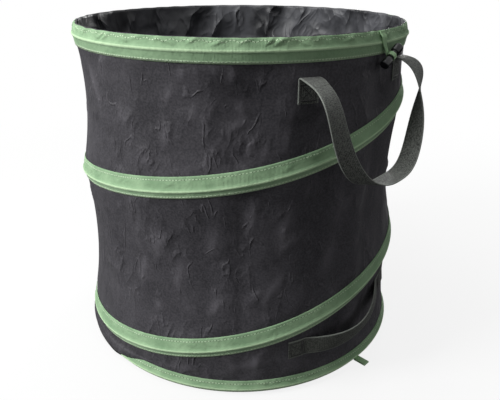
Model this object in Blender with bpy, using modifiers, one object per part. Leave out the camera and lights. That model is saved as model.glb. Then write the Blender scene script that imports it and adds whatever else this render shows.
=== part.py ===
"""Pop up leaf bag: a round fabric tube held open by a coiled steel spring.

The bag stands on its round base panel, with its origin at the centre of the underside and +Z up.
Angles go round the bag in degrees: 0 is the front (-Y), 90 the right (+X). The spring is one steel
wire. Its lowest turn lies flat in the bottom tape, its highest turn lies flat in the rim tape, and
the turns between them climb in a spiral tape. Each tape is a strip sewn over the wire from outside.
"""

import math

import bmesh
import bpy
import numpy as np
from mathutils import Matrix, Vector

# The bag, in metres
BAG_HEIGHT = 0.467
TUBE_RADIUS = 0.235
FABRIC_THICKNESS = 0.0008
BASE_THICKNESS = 0.003
BASE_EDGE_ROUND = 0.0006
CLEARANCE = 0.0003
MERGE_DISTANCE = 0.000003
FACETS_ROUND = 60

# The bare fabric between two tapes draws in: most where they lie far apart, and least on the bag's
# diagonals, so that the space inside keeps its square corners. It lies flat round each sewn end.
WALL_DRAW = 0.0105
WALL_DRAW_SPAN = 0.200
WALL_DRAW_EASE = 1.5
WALL_HELD_SHARE = 0.73
WALL_LEAD_ANGLE = 30.0
WALL_FADE = 0.030
WALL_ROWS = 24

# The spring wire and the tapes that hold it
WIRE_RADIUS = 0.0016
WIRE_SIDES_RESOLUTION = 1
TAPE_THICKNESS = 0.0008
CHANNEL_HEIGHT = 0.010
CHANNEL_SLACK = 0.001
RIM_TAPE_WIDTH = 0.029
RIM_WIRE_SHARE = 0.5
BOTTOM_TAPE_WIDTH = 0.017
BOTTOM_WIRE_SHARE = 0.34
SPIRAL_TAPE_WIDTH = 0.028
SPIRAL_WIRE_SHARE = 0.35

# The spiral: where it starts and ends round the bag, and how much of its height it has climbed
SPIRAL_START = -80.0
SPIRAL_END = 540.0
SPIRAL_GAP = 0.0006
SPIRAL_RISE_SHARES = (
    (0.0, 0.0), (0.08, 0.05), (0.14, 0.13), (0.21, 0.25), (0.27, 0.325), (0.42, 0.455),
    (0.59, 0.58), (0.715, 0.69), (0.83, 0.865), (0.9, 0.94), (1.0, 1.0),
)

# Handles of 25 mm webbing
WEBBING_WIDTH = 0.025
WEBBING_THICKNESS = 0.0016
UPPER_NEAR_ANGLE = 19.0
UPPER_FAR_ANGLE = 58.0
UPPER_END_HEIGHT = 0.027
UPPER_END_BELOW_RIM = 0.020
UPPER_FAR_RISE = 0.008
UPPER_FOLD_RADIUS = 0.004
UPPER_DROP = 0.126
UPPER_STAND_OUT = 0.046
UPPER_NEAR_STANDS_MORE = 0.29
UPPER_SQUARENESS = 0.6
UPPER_OUT_EASE = 6.0
UPPER_DROP_EASE = 1.45
UPPER_FAR_TWIST_EASE = 6.0
STRAP_SAMPLES = 241
UPPER_HINGE_SAMPLE = 8
LOWER_NEAR_ANGLE = 15.5
LOWER_FAR_ANGLE = 62.0
LOWER_NEAR_HEIGHT = 0.061
LOWER_FAR_HEIGHT = 0.107
LOWER_CLIMB_EASE = 1.4
LOWER_SEWN_LENGTH = 0.025
LOWER_LEAD_LENGTH = 0.014
LOWER_STAND_OUT = 0.018
LOWER_DROOP = 0.004
LOWER_LEAN = 18.0
STRAP_STEPS = 26
STRAP_END_FINENESS = 0.7
STRAP_GAP = 0.0005
LEAD_STEPS = 4

# Bar tacks: dense bars of thread that hold the sewn ends
TACK_WIDTH = 0.020
TACK_HEIGHT = 0.0025
TACK_THICKNESS = 0.0007
TACK_INSET = 0.004
LOWER_TACK_INSET = 0.0185

# Toggles and the loops of narrow tape that hold and catch them
LOOP_TAPE_WIDTH = 0.010
LOOP_TAPE_THICKNESS = 0.0010
TOGGLE_ANGLE = 45.5
TOGGLE_LENGTH = 0.038
TOGGLE_RADIUS = 0.0058
TOGGLE_WAIST_RADIUS = 0.0042
TOGGLE_END_RADIUS = 0.0044
TOGGLE_WAIST_LENGTH = 0.0125
TOGGLE_DROP = 0.034
TOGGLE_LEAN = 31.0
LOOP_START_DROP = 0.001
LOOP_CLEARS_RIM_DROP = 0.009
LOOP_MOUTH_ANGLE = 60.0
LOOP_STEPS = 12
WRAP_STEPS = 12
TOGGLE_FACETS = 20
CATCH_ANGLE = 45.0
CATCH_LENGTH = 0.018
CATCH_BASE_GAP = 0.0003
CATCH_FOLD_GAP = 0.0006
FOLD_STEPS = 4

OPPOSITE = 180.0

# Places that follow from the sizes above
WIRE_CENTRE_RADIUS = TUBE_RADIUS + CLEARANCE + WIRE_RADIUS
CHANNEL_RISE = 2 * WIRE_RADIUS + CHANNEL_SLACK
RIDGE_OUT = CLEARANCE + CHANNEL_RISE + TAPE_THICKNESS
RIM_WIRE_HEIGHT = BAG_HEIGHT - RIM_TAPE_WIDTH * (1 - RIM_WIRE_SHARE)
BOTTOM_TAPE_LOW = BASE_THICKNESS + CLEARANCE
BOTTOM_WIRE_HEIGHT = BOTTOM_TAPE_LOW + BOTTOM_TAPE_WIDTH * BOTTOM_WIRE_SHARE
SPIRAL_LOW = BOTTOM_TAPE_LOW + BOTTOM_TAPE_WIDTH + SPIRAL_GAP + SPIRAL_TAPE_WIDTH * SPIRAL_WIRE_SHARE
SPIRAL_HIGH = BAG_HEIGHT - RIM_TAPE_WIDTH - SPIRAL_GAP - SPIRAL_TAPE_WIDTH * (1 - SPIRAL_WIRE_SHARE)
UPPER_NEAR_TOP = BAG_HEIGHT - RIM_TAPE_WIDTH - UPPER_END_BELOW_RIM
UPPER_FAR_TOP = UPPER_NEAR_TOP + UPPER_FAR_RISE
SEWN_FACE_OUT = CLEARANCE + WEBBING_THICKNESS
LOWER_LENGTH = math.radians(LOWER_FAR_ANGLE - LOWER_NEAR_ANGLE) * TUBE_RADIUS
STEP_ANGLE = 360.0 / FACETS_ROUND
UPPER_HINGE_ROW = FOLD_STEPS + 1 + UPPER_HINGE_SAMPLE


def start_empty_scene():
    for obj in list(bpy.data.objects):
        bpy.data.objects.remove(obj)
    bag = bpy.data.collections.new("pop_up_leaf_bag")
    bpy.context.scene.collection.children.link(bag)
    return bag


BAG = start_empty_scene()


def make_material(name, colour, roughness, metallic=0.0):
    material = bpy.data.materials.new(name)
    material.use_nodes = True
    shader = material.node_tree.nodes["Principled BSDF"]
    shader.inputs["Base Color"].default_value = (*colour, 1.0)
    shader.inputs["Roughness"].default_value = roughness
    shader.inputs["Metallic"].default_value = metallic
    return material


BLACK_FABRIC = make_material("black_polyester", (0.045, 0.043, 0.050), 0.75)
GREEN_TAPE = make_material("sage_green_tape", (0.270, 0.430, 0.250), 0.85)
GREY_WEBBING = make_material("charcoal_webbing", (0.060, 0.066, 0.060), 0.90)
BLACK_THREAD = make_material("black_thread", (0.020, 0.020, 0.018), 0.80)
BLACK_PLASTIC = make_material("black_moulded_plastic", (0.012, 0.012, 0.014), 0.30)
SPRING_STEEL = make_material("spring_steel", (0.430, 0.430, 0.440), 0.35, 1.0)


def on_tube(angle, out, height):
    """The point at this angle round the bag, this far outside the fabric tube, at this height."""
    turn = math.radians(angle)
    radius = TUBE_RADIUS + out
    return Vector((radius * math.sin(turn), -radius * math.cos(turn), height))


def outward(angle):
    turn = math.radians(angle)
    return Vector((math.sin(turn), -math.cos(turn), 0.0))


def round_the_bag(angle):
    turn = math.radians(angle)
    return Vector((math.cos(turn), math.sin(turn), 0.0))


def arc_angle(length):
    """The angle in degrees that this length covers on the tube."""
    return math.degrees(length / TUBE_RADIUS)


def add_object(name, data, material, origin=Vector()):
    obj = bpy.data.objects.new(name, data)
    obj.location = origin
    BAG.objects.link(obj)
    data.materials.append(material)
    return obj


def make_cloth(name, columns, rows, shape, thickness, material, closed=False, origin=Vector()):
    """A flat grid laid onto shape(u, v), then given its thickness on the side its normals face."""
    bm = bmesh.new()
    bmesh.ops.create_grid(bm, x_segments=columns, y_segments=rows, size=0.5)
    for vert in bm.verts:
        vert.co = shape(vert.co.x + 0.5, vert.co.y + 0.5) - origin
    if closed:
        bmesh.ops.remove_doubles(bm, verts=bm.verts, dist=MERGE_DISTANCE)
    mesh = bpy.data.meshes.new(name)
    bm.to_mesh(mesh)
    bm.free()
    mesh.shade_smooth()
    obj = add_object(name, mesh, material, origin)
    wall = obj.modifiers.new("thickness", "SOLIDIFY")
    wall.thickness = thickness
    wall.offset = 1.0
    wall.use_even_offset = True
    return obj


def make_wire(name, points, closed, origin=Vector()):
    """A round steel wire through the points."""
    curve = bpy.data.curves.new(name, "CURVE")
    curve.dimensions = "3D"
    curve.bevel_depth = WIRE_RADIUS
    curve.bevel_resolution = WIRE_SIDES_RESOLUTION
    curve.use_fill_caps = not closed
    line = curve.splines.new("POLY")
    line.points.add(len(points) - 1)
    for spot, point in zip(line.points, points):
        spot.co = (*(point - origin), 1.0)
    line.use_cyclic_u = closed
    return add_object(name, curve, SPRING_STEEL, origin)


def smooth_share(table, at):
    """Reads the table at a share with a cubic through its rows, whose slopes are its neighbours'."""
    across, up = np.array(table).T
    slopes = np.gradient(up, across)
    slopes[0] = slopes[-1] = 0.0
    row = int(np.clip(np.searchsorted(across, at) - 1, 0, len(across) - 2))
    width = across[row + 1] - across[row]
    t = (at - across[row]) / width
    start = (2 * t**3 - 3 * t**2 + 1) * up[row] + (t**3 - 2 * t**2 + t) * width * slopes[row]
    return start + (3 * t**2 - 2 * t**3) * up[row + 1] + (t**3 - t**2) * width * slopes[row + 1]


def spiral_height(angle):
    """Height of the spring wire's centre at an angle along the spiral."""
    share = smooth_share(SPIRAL_RISE_SHARES, (angle - SPIRAL_START) / (SPIRAL_END - SPIRAL_START))
    return SPIRAL_LOW + (SPIRAL_HIGH - SPIRAL_LOW) * share


def tape_section(width, wire_share):
    """The tape's section from its lower edge up, as (out, up from the wire): flat at both edges where
    it is sewn to the tube, and raised in a hump over the wire."""
    half = CHANNEL_HEIGHT / 2
    flat = CLEARANCE
    return (
        (flat, -width * wire_share),
        (flat, -half),
        (flat + CHANNEL_RISE / 2, -half / 2),
        (flat + CHANNEL_RISE, 0.0),
        (flat + CHANNEL_RISE / 2, half / 2),
        (flat, half),
        (flat, width * (1 - wire_share)),
    )


def section_point(section, v):
    return section[round(v * (len(section) - 1))]


def make_base():
    bm = bmesh.new()
    bmesh.ops.create_cone(
        bm,
        cap_ends=True,
        segments=FACETS_ROUND,
        radius1=TUBE_RADIUS,
        radius2=TUBE_RADIUS,
        depth=BASE_THICKNESS,
        matrix=Matrix.Translation((0.0, 0.0, BASE_THICKNESS / 2)),
    )
    mesh = bpy.data.meshes.new("base_panel")
    bm.to_mesh(mesh)
    bm.free()
    mesh.shade_smooth()
    obj = add_object("base_panel", mesh, BLACK_FABRIC)
    edge = obj.modifiers.new("edge", "BEVEL")
    edge.width = BASE_EDGE_ROUND
    edge.segments = 1


def bare_stretches(angle):
    """The heights between which the fabric is bare, at an angle from -180 to 180: under the spiral's
    first turn, between its two turns, and over the second. Where the spiral starts and where it ends,
    a stretch gives way to the next one softly."""
    above, below = SPIRAL_TAPE_WIDTH * (1 - SPIRAL_WIRE_SHARE), SPIRAL_TAPE_WIDTH * SPIRAL_WIRE_SHARE
    floor, ceiling = BOTTOM_TAPE_LOW + BOTTOM_TAPE_WIDTH, BAG_HEIGHT - RIM_TAPE_WIDTH
    first, second = spiral_height(max(angle, SPIRAL_START)), spiral_height(angle + 360.0)
    started = eased((angle - SPIRAL_START) / WALL_LEAD_ANGLE + 1)
    ended = 1 - eased((angle + 180.0) / WALL_LEAD_ANGLE)
    return (
        (floor, first - below),
        (floor + (first + above - floor) * started, second - below),
        (second + above, ceiling - (ceiling - SPIRAL_HIGH + below) * ended),
    )


def sewn_places():
    """The middle of each end that is sewn to the wall, as an angle and a height."""
    places = [
        (angle + turn, top - UPPER_END_HEIGHT / 2)
        for turn in (0.0, OPPOSITE)
        for angle, top in ((UPPER_NEAR_ANGLE, UPPER_NEAR_TOP), (UPPER_FAR_ANGLE, UPPER_FAR_TOP))
    ]
    for along in (LOWER_SEWN_LENGTH / 2, LOWER_LENGTH - LOWER_SEWN_LENGTH / 2):
        angle = LOWER_NEAR_ANGLE + (LOWER_FAR_ANGLE - LOWER_NEAR_ANGLE) * along / LOWER_LENGTH
        places.append((angle, lower_strap_point(along).z))
    return places


def wall_draw(angle, height):
    """How far the fabric has drawn in: 4 u (1 - u) of its depth, with u the share of the way up a
    bare stretch."""
    angle = (angle + 180.0) % 360.0 - 180.0
    drawn = 0.0
    for low, high in bare_stretches(angle):
        span = max(high - low, CLEARANCE)
        share = min(max((height - low) / span, 0.0), 1.0)
        drawn += WALL_DRAW * (span / WALL_DRAW_SPAN) ** WALL_DRAW_EASE * 4 * share * (1 - share)
    drawn *= 1 - WALL_HELD_SHARE * math.sin(math.radians(2 * angle)) ** 2
    for place, middle in sewn_places():
        across = abs(math.remainder(angle - place, 360.0)) / arc_angle(1.0)
        beside = 1 - eased((across - WEBBING_WIDTH) / WALL_FADE)
        level = 1 - eased((abs(height - middle) - WEBBING_WIDTH) / WALL_FADE)
        drawn *= 1 - beside * level
    return drawn


def make_wall():
    low = BASE_THICKNESS + CLEARANCE

    def shape(u, v):
        height = low + (BAG_HEIGHT - low) * v
        return on_tube(360.0 * u, -FABRIC_THICKNESS - wall_draw(360.0 * u, height), height)

    make_cloth("wall_fabric", FACETS_ROUND, WALL_ROWS, shape, FABRIC_THICKNESS, BLACK_FABRIC, closed=True)


def make_ring(name, width, wire_share, wire_height):
    """A flat turn of the spring and the tape sewn over it."""
    section = tape_section(width, wire_share)

    def shape(u, v):
        out, up = section_point(section, v)
        return on_tube(360.0 * u, out, wire_height + up)

    make_cloth(name + "_tape", FACETS_ROUND, len(section) - 1, shape, TAPE_THICKNESS, GREEN_TAPE, closed=True)
    out = WIRE_CENTRE_RADIUS - TUBE_RADIUS
    turn = [on_tube(STEP_ANGLE * i, out, wire_height) for i in range(FACETS_ROUND)]
    make_wire(name + "_hoop", turn, closed=True)


def make_spiral():
    """The climbing turns of the spring and the tape sewn over them."""
    section = tape_section(SPIRAL_TAPE_WIDTH, SPIRAL_WIRE_SHARE)
    steps = round((SPIRAL_END - SPIRAL_START) / STEP_ANGLE)

    def shape(u, v):
        out, up = section_point(section, v)
        angle = SPIRAL_START + (SPIRAL_END - SPIRAL_START) * u
        return on_tube(angle, out, spiral_height(angle) + up)

    make_cloth("spiral_tape", steps, len(section) - 1, shape, TAPE_THICKNESS, GREEN_TAPE)
    out = WIRE_CENTRE_RADIUS - TUBE_RADIUS
    angles = np.linspace(SPIRAL_START, SPIRAL_END, steps + 1)
    make_wire("spiral_spring", [on_tube(angle, out, spiral_height(angle)) for angle in angles], closed=False)


def make_tack(name, angle, height, half_width, half_height):
    """A bar of thread on the outer face of a sewn end."""

    def shape(u, v):
        across = arc_angle(half_width) * (2 * u - 1)
        return on_tube(angle + across, SEWN_FACE_OUT + CLEARANCE, height + half_height * (2 * v - 1))

    make_cloth(name, 2, 1, shape, TACK_THICKNESS, BLACK_THREAD)


def ribbon_shape(path, sides, width):
    """A ribbon along the path, whose width lies along the side at each of its points."""
    steps = len(path) - 1

    def shape(u, v):
        i = round(v * steps)
        return path[i] + sides[i] * (width * (u - 0.5))

    return shape


def square_to_path(path, sides):
    """The sides turned square to the path."""
    last = len(path) - 1
    runs = [(path[min(i + 1, last)] - path[max(i - 1, 0)]).normalized() for i in range(last + 1)]
    return [(side - run * side.dot(run)).normalized() for run, side in zip(runs, sides)]


def eased(share):
    share = min(max(share, 0.0), 1.0)
    return share * share * (3 - 2 * share)


def upper_strap_path(turn):
    """The carry handle's wall side from sewn end to sewn end: up the tube, folded over outwards,
    down in a squarish loop that stands out, and back the same way."""
    near, far = UPPER_NEAR_ANGLE + turn, UPPER_FAR_ANGLE + turn
    middle, half = (near + far) / 2, (far - near) / 2

    def sewn_end(angle, top):
        rows = [on_tube(angle, CLEARANCE, top - UPPER_END_HEIGHT)]
        for i in range(FOLD_STEPS + 1):
            roll = math.pi / 2 * i / FOLD_STEPS
            out = CLEARANCE + UPPER_FOLD_RADIUS * (1 - math.cos(roll))
            rows.append(on_tube(angle, out, top + UPPER_FOLD_RADIUS * math.sin(roll)))
        return rows

    path = sewn_end(near, UPPER_NEAR_TOP)
    for t in np.linspace(0.0, math.pi, STRAP_SAMPLES)[1:-1]:
        swing = math.copysign(abs(math.cos(t)) ** UPPER_SQUARENESS, math.cos(t))
        top = UPPER_NEAR_TOP + UPPER_FAR_RISE * (1 - swing) / 2 + UPPER_FOLD_RADIUS
        stand = UPPER_STAND_OUT * (1 + UPPER_NEAR_STANDS_MORE * swing)
        out = CLEARANCE + UPPER_FOLD_RADIUS + stand * (1 - (1 - math.sin(t)) ** UPPER_OUT_EASE)
        height = top - UPPER_DROP * math.sin(t) ** UPPER_DROP_EASE
        path.append(on_tube(middle - half * swing, out, height))
    return path + sewn_end(far, UPPER_FAR_TOP)[::-1]


def upper_strap_sides(path, turn):
    """The direction of the strap's width along its path. It lies along the tube at the sewn ends and
    along the hinge line at the ends of the leads. Between them it turns over, straight out at the
    bottom of the loop."""
    last = len(path) - 1
    axis = (path[last - UPPER_HINGE_ROW] - path[UPPER_HINGE_ROW]).normalized()
    away = Vector((axis.y, -axis.x, 0.0)).normalized()
    sides = []
    for i in range(last + 1):
        t = math.pi * min(max((i - UPPER_HINGE_ROW) / (last - 2 * UPPER_HINGE_ROW), 0.0), 1.0)
        ease = UPPER_SQUARENESS if math.cos(t) > 0 else UPPER_FAR_TWIST_EASE
        twist = math.pi / 2 * (1 - math.copysign(abs(math.cos(t)) ** ease, math.cos(t)))
        free = axis * math.cos(twist) + away * math.sin(twist)
        along_tube = round_the_bag(turn + UPPER_NEAR_ANGLE)
        if i > last / 2:
            along_tube = -round_the_bag(turn + UPPER_FAR_ANGLE)
        lead = eased((min(i, last - i) - FOLD_STEPS - 1) / UPPER_HINGE_SAMPLE)
        sides.append((along_tube * (1 - lead) + free * lead).normalized())
    return sides


def make_upper_handle(name, turn):
    """Two folded ends sewn under the rim, each with a short lead, and the loop that swings from them."""
    path = upper_strap_path(turn)
    sides = upper_strap_sides(path, turn)
    gone = np.cumsum([0.0] + [(b - a).length for a, b in zip(path, path[1:])])

    def make_strap(label, lengths, origin=Vector()):
        points, across = (
            [Vector([np.interp(length, gone, column) for column in np.array(rows).T]) for length in lengths]
            for rows in (path, sides)
        )
        shape = ribbon_shape(points, across, WEBBING_WIDTH)
        make_cloth(label, 1, len(lengths) - 1, shape, WEBBING_THICKNESS, GREY_WEBBING, origin=origin)

    def end_lengths(sewn, fold, hinge):
        bend = np.linspace(gone[sewn], gone[fold], FOLD_STEPS, endpoint=False)
        return np.concatenate([bend, np.linspace(gone[fold], gone[hinge], LEAD_STEPS)])

    near, far = UPPER_HINGE_ROW, -1 - UPPER_HINGE_ROW
    make_strap(f"{name}_near_end", np.append(0.0, end_lengths(1, FOLD_STEPS + 1, near)))
    make_strap(f"{name}_far_end", np.append(end_lengths(-2, -2 - FOLD_STEPS, far)[::-1], gone[-1]))
    share = np.linspace(0.0, 1.0, STRAP_STEPS + 1)
    share -= STRAP_END_FINENESS * np.sin(2 * math.pi * share) / (2 * math.pi)
    low, high = gone[near] + STRAP_GAP, gone[far] - STRAP_GAP
    make_strap(f"{name}_strap", low + (high - low) * share, (path[near] + path[far]) / 2)
    for where, angle, top in (
        ("near", UPPER_NEAR_ANGLE, UPPER_NEAR_TOP),
        ("far", UPPER_FAR_ANGLE, UPPER_FAR_TOP),
    ):
        height = top - UPPER_END_HEIGHT + TACK_INSET
        make_tack(f"{name}_{where}_tack", angle + turn, height, TACK_WIDTH / 2, TACK_HEIGHT / 2)


def lower_strap_bow(along):
    """How far the lower handle has bowed out at a length along it, as a share of its greatest bow."""
    free = (along - LOWER_SEWN_LENGTH) / (LOWER_LENGTH - 2 * LOWER_SEWN_LENGTH)
    return math.sin(math.pi * min(max(free, 0.0), 1.0))


def lower_strap_point(along):
    """The lower handle's inner face at a length along it: flat on the tube where it is sewn, and
    between the sewn ends a bow that stands out and droops."""
    share = along / LOWER_LENGTH
    bow = lower_strap_bow(along)
    angle = LOWER_NEAR_ANGLE + (LOWER_FAR_ANGLE - LOWER_NEAR_ANGLE) * share
    climb = (LOWER_FAR_HEIGHT - LOWER_NEAR_HEIGHT) * share**LOWER_CLIMB_EASE
    return on_tube(angle, CLEARANCE + LOWER_STAND_OUT * bow, LOWER_NEAR_HEIGHT + climb - LOWER_DROOP * bow)


def make_lower_strip(name, lengths, origin=Vector()):
    """A stretch of the lower handle, whose width keeps square to it. The more it bows, the more its
    upper edge leans out."""
    path = [lower_strap_point(along) for along in lengths]
    sides = []
    for along, point in zip(lengths, path):
        ahead = lower_strap_point(min(along + CLEARANCE, LOWER_LENGTH))
        run = ahead - lower_strap_point(max(along - CLEARANCE, 0.0))
        away = Vector((point.x, point.y, 0.0)).normalized()
        lean = math.radians(LOWER_LEAN) * lower_strap_bow(along) ** 2
        sides.append(run.cross(away).normalized() * math.cos(lean) - away * math.sin(lean))
    shape = ribbon_shape(path, sides, WEBBING_WIDTH)
    make_cloth(name, 1, len(path) - 1, shape, WEBBING_THICKNESS, GREY_WEBBING, origin=origin)


def make_lower_handle():
    """Two ends sewn along the tube, each with a short lead, and the bow that swings between them."""
    held = LOWER_SEWN_LENGTH + LOWER_LEAD_LENGTH
    near, far = lower_strap_point(held), lower_strap_point(LOWER_LENGTH - held)
    sewn = np.linspace(0.0, LOWER_SEWN_LENGTH, LEAD_STEPS, endpoint=False)
    end = np.append(sewn, np.linspace(LOWER_SEWN_LENGTH, held, LEAD_STEPS))
    make_lower_strip("lower_handle_near_end", end)
    make_lower_strip("lower_handle_far_end", LOWER_LENGTH - end[::-1])
    bow = np.linspace(held + CLEARANCE, LOWER_LENGTH - held - CLEARANCE, STRAP_STEPS + 1)
    make_lower_strip("lower_handle_strap", bow, (near + far) / 2)
    for end, along in (("near", LOWER_TACK_INSET), ("far", LOWER_LENGTH - LOWER_TACK_INSET)):
        share = along / LOWER_LENGTH
        angle = LOWER_NEAR_ANGLE + (LOWER_FAR_ANGLE - LOWER_NEAR_ANGLE) * share
        height = lower_strap_point(along).z
        make_tack(f"lower_handle_{end}_tack", angle, height, TACK_HEIGHT / 2, TACK_WIDTH / 2)


def make_pivot(name, place):
    """An empty on a joint's axis, which carries the pieces that swing about it."""
    pivot = bpy.data.objects.new(name, None)
    pivot.location = place
    BAG.objects.link(pivot)
    return pivot


def toggle_loop_path(angle):
    """The narrow tape's bag side: out over the rim tape's hump, down with a lean, and round the
    toggle's waist. Returns the path, its width's directions, the waist's centre and the way down."""
    start_out = 2 * CLEARANCE + TAPE_THICKNESS
    point = on_tube(angle, start_out, BAG_HEIGHT - LOOP_START_DROP)
    straight = TOGGLE_DROP - LOOP_START_DROP
    path, sides = [point], [-round_the_bag(angle)]
    for i in range(1, LOOP_STEPS + 1):
        gone = straight * i / LOOP_STEPS
        lean = math.radians(TOGGLE_LEAN) * eased(gone / LOOP_CLEARS_RIM_DROP - 1)
        step = straight / LOOP_STEPS
        out = start_out + (RIDGE_OUT + CLEARANCE - start_out) * eased(gone / LOOP_CLEARS_RIM_DROP)
        down = Vector((0.0, 0.0, -math.cos(lean))) + round_the_bag(angle) * math.sin(lean)
        point = point + down * step
        path.append(point + outward(angle) * (out - start_out))
        sides.append(down.cross(outward(angle)))
    wrap_radius = TOGGLE_WAIST_RADIUS + CLEARANCE + LOOP_TAPE_THICKNESS
    centre = path[-1] + outward(angle) * wrap_radius
    for i in range(1, WRAP_STEPS + 1):
        turn = math.radians((360.0 - LOOP_MOUTH_ANGLE) * i / WRAP_STEPS)
        away = down * math.sin(turn) - outward(angle) * math.cos(turn)
        path.append(centre + away * wrap_radius)
        sides.append(down.cross(outward(angle)))
    return path, sides, centre, down


def make_toggle(name, angle):
    path, sides, centre, down = toggle_loop_path(angle)
    hinge = path[0] + outward(angle) * LOOP_TAPE_THICKNESS
    pivot = make_pivot(name + "_pivot", hinge)
    shape = ribbon_shape(path, square_to_path(path, sides), LOOP_TAPE_WIDTH)
    steps = len(path) - 1
    loop = make_cloth(name + "_loop", 1, steps, shape, LOOP_TAPE_THICKNESS, GREEN_TAPE, origin=hinge)
    half, waist, end = TOGGLE_LENGTH / 2, TOGGLE_WAIST_LENGTH / 2, TOGGLE_END_RADIUS
    chamfer = TOGGLE_RADIUS - TOGGLE_END_RADIUS
    side = ((0.0, half), (end, half), (TOGGLE_RADIUS, half - chamfer), (TOGGLE_RADIUS, waist + chamfer),
            (TOGGLE_WAIST_RADIUS, waist))
    profile = side + tuple((radius, -height) for radius, height in reversed(side))
    mesh = bpy.data.meshes.new(name)
    mesh.from_pydata([(r, 0.0, z) for r, z in profile], [(i, i + 1) for i in range(len(profile) - 1)], [])
    toggle = add_object(name, mesh, BLACK_PLASTIC)
    turned = toggle.modifiers.new("turned", "SCREW")
    turned.steps = turned.render_steps = TOGGLE_FACETS
    turned.use_merge_vertices = True
    turned.merge_threshold = MERGE_DISTANCE
    turned.use_smooth_shade = True
    across = down.cross(outward(angle)).normalized()
    turn = Matrix((down, outward(angle), across)).transposed().to_4x4()
    for piece in (loop, toggle):
        piece.parent = pivot
    loop.location = Vector()
    toggle.rotation_euler = turn.to_euler()
    toggle.location = centre - hinge


def make_catch_loop(name, angle):
    """A folded tab of narrow tape sewn under the bottom tape, which a toggle hooks into."""
    half_gap = CATCH_FOLD_GAP / 2
    length = CATCH_LENGTH - half_gap
    middle = BASE_THICKNESS / 2
    path = [on_tube(angle, CATCH_BASE_GAP, middle - half_gap), on_tube(angle, length, middle - half_gap)]
    for i in range(1, FOLD_STEPS):
        turn = math.pi * i / FOLD_STEPS
        away = outward(angle) * math.sin(turn) - Vector((0.0, 0.0, math.cos(turn)))
        path.append(on_tube(angle, length, middle) + away * half_gap)
    path += [on_tube(angle, length, middle + half_gap), on_tube(angle, CATCH_BASE_GAP, middle + half_gap)]
    shape = ribbon_shape(path, [round_the_bag(angle)] * len(path), LOOP_TAPE_WIDTH)
    make_cloth(name, 1, len(path) - 1, shape, LOOP_TAPE_THICKNESS, GREEN_TAPE)


def main():
    make_base()
    make_wall()
    make_ring("bottom", BOTTOM_TAPE_WIDTH, BOTTOM_WIRE_SHARE, BOTTOM_WIRE_HEIGHT)
    make_spiral()
    make_ring("rim", RIM_TAPE_WIDTH, RIM_WIRE_SHARE, RIM_WIRE_HEIGHT)
    make_upper_handle("right_handle", 0.0)
    make_upper_handle("left_handle", OPPOSITE)
    make_lower_handle()
    for side, turn in (("right", 0.0), ("left", OPPOSITE)):
        make_toggle(side + "_toggle", TOGGLE_ANGLE + turn)
        make_catch_loop(side + "_catch_loop", CATCH_ANGLE + turn)


main()
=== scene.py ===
import math

import bpy
import numpy as np
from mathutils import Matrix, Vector


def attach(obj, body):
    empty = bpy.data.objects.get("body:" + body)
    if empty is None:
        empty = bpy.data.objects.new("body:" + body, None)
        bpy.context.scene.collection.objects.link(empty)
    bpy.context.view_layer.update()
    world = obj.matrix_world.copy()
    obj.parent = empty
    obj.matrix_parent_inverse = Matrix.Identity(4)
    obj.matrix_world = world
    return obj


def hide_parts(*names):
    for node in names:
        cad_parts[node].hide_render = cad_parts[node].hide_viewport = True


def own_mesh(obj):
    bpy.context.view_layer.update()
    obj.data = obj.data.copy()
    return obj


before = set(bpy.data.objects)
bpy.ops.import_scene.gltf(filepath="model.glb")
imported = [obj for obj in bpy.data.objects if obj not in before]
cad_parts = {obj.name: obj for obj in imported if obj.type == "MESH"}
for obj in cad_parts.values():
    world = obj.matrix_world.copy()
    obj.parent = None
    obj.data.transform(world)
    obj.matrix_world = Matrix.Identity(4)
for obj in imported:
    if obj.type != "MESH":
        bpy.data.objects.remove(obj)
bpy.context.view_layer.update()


# The room: a pale floor under soft studio light, and a camera a little above the rim.
# The key lamp stands to the left and in front, so that the bag's right side falls into shade.
CAMERA_PLACE = (0.0, -0.8392, 0.5442)
CAMERA_PITCH = 17.675
CAMERA_LENS = 40.33
CAMERA_SHIFT = (0.020, -0.120)
FLOOR_HALF = 12.0
FLOOR_COLOUR = "#F2F2F2"
FLOOR_SHADOWS_TO, FLOOR_PLAIN_FROM = 0.4, 1.3
FLOOR_GLOW, SKY_LIGHT = 0.84, 0.20


def linear(text):
    """Turns an sRGB hex colour into linear RGBA: c / 12.92 in the darks, and
    ((c + 0.055) / 1.055)^2.4 above them."""
    c = np.array([int(text[i : i + 2], 16) for i in (1, 3, 5)]) / 255
    rgb = np.where(c <= 0.04045, c / 12.92, ((c + 0.055) / 1.055) ** 2.4)
    return (*(float(x) for x in rgb), 1.0)


def add(tree, kind, links=None, **settings):
    """Adds a node with its settings. Among the links a socket is joined, a node is joined by its
    first live output, a hex colour is turned linear, and any other value is set."""
    node = tree.nodes.new("ShaderNode" + kind)
    for key, value in settings.items():
        setattr(node, key, value)
    for name, value in (links or {}).items():
        if isinstance(value, bpy.types.Node):
            value = next(socket for socket in value.outputs if socket.enabled)
        if isinstance(value, bpy.types.NodeSocket):
            tree.links.new(value, node.inputs[name])
        else:
            node.inputs[name].default_value = linear(value) if isinstance(value, str) else value
    return node


def new_material(name):
    """A new material with an empty node tree."""
    material = bpy.data.materials.new(name)
    material.use_nodes = True
    material.node_tree.nodes.clear()
    return material, material.node_tree


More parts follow.
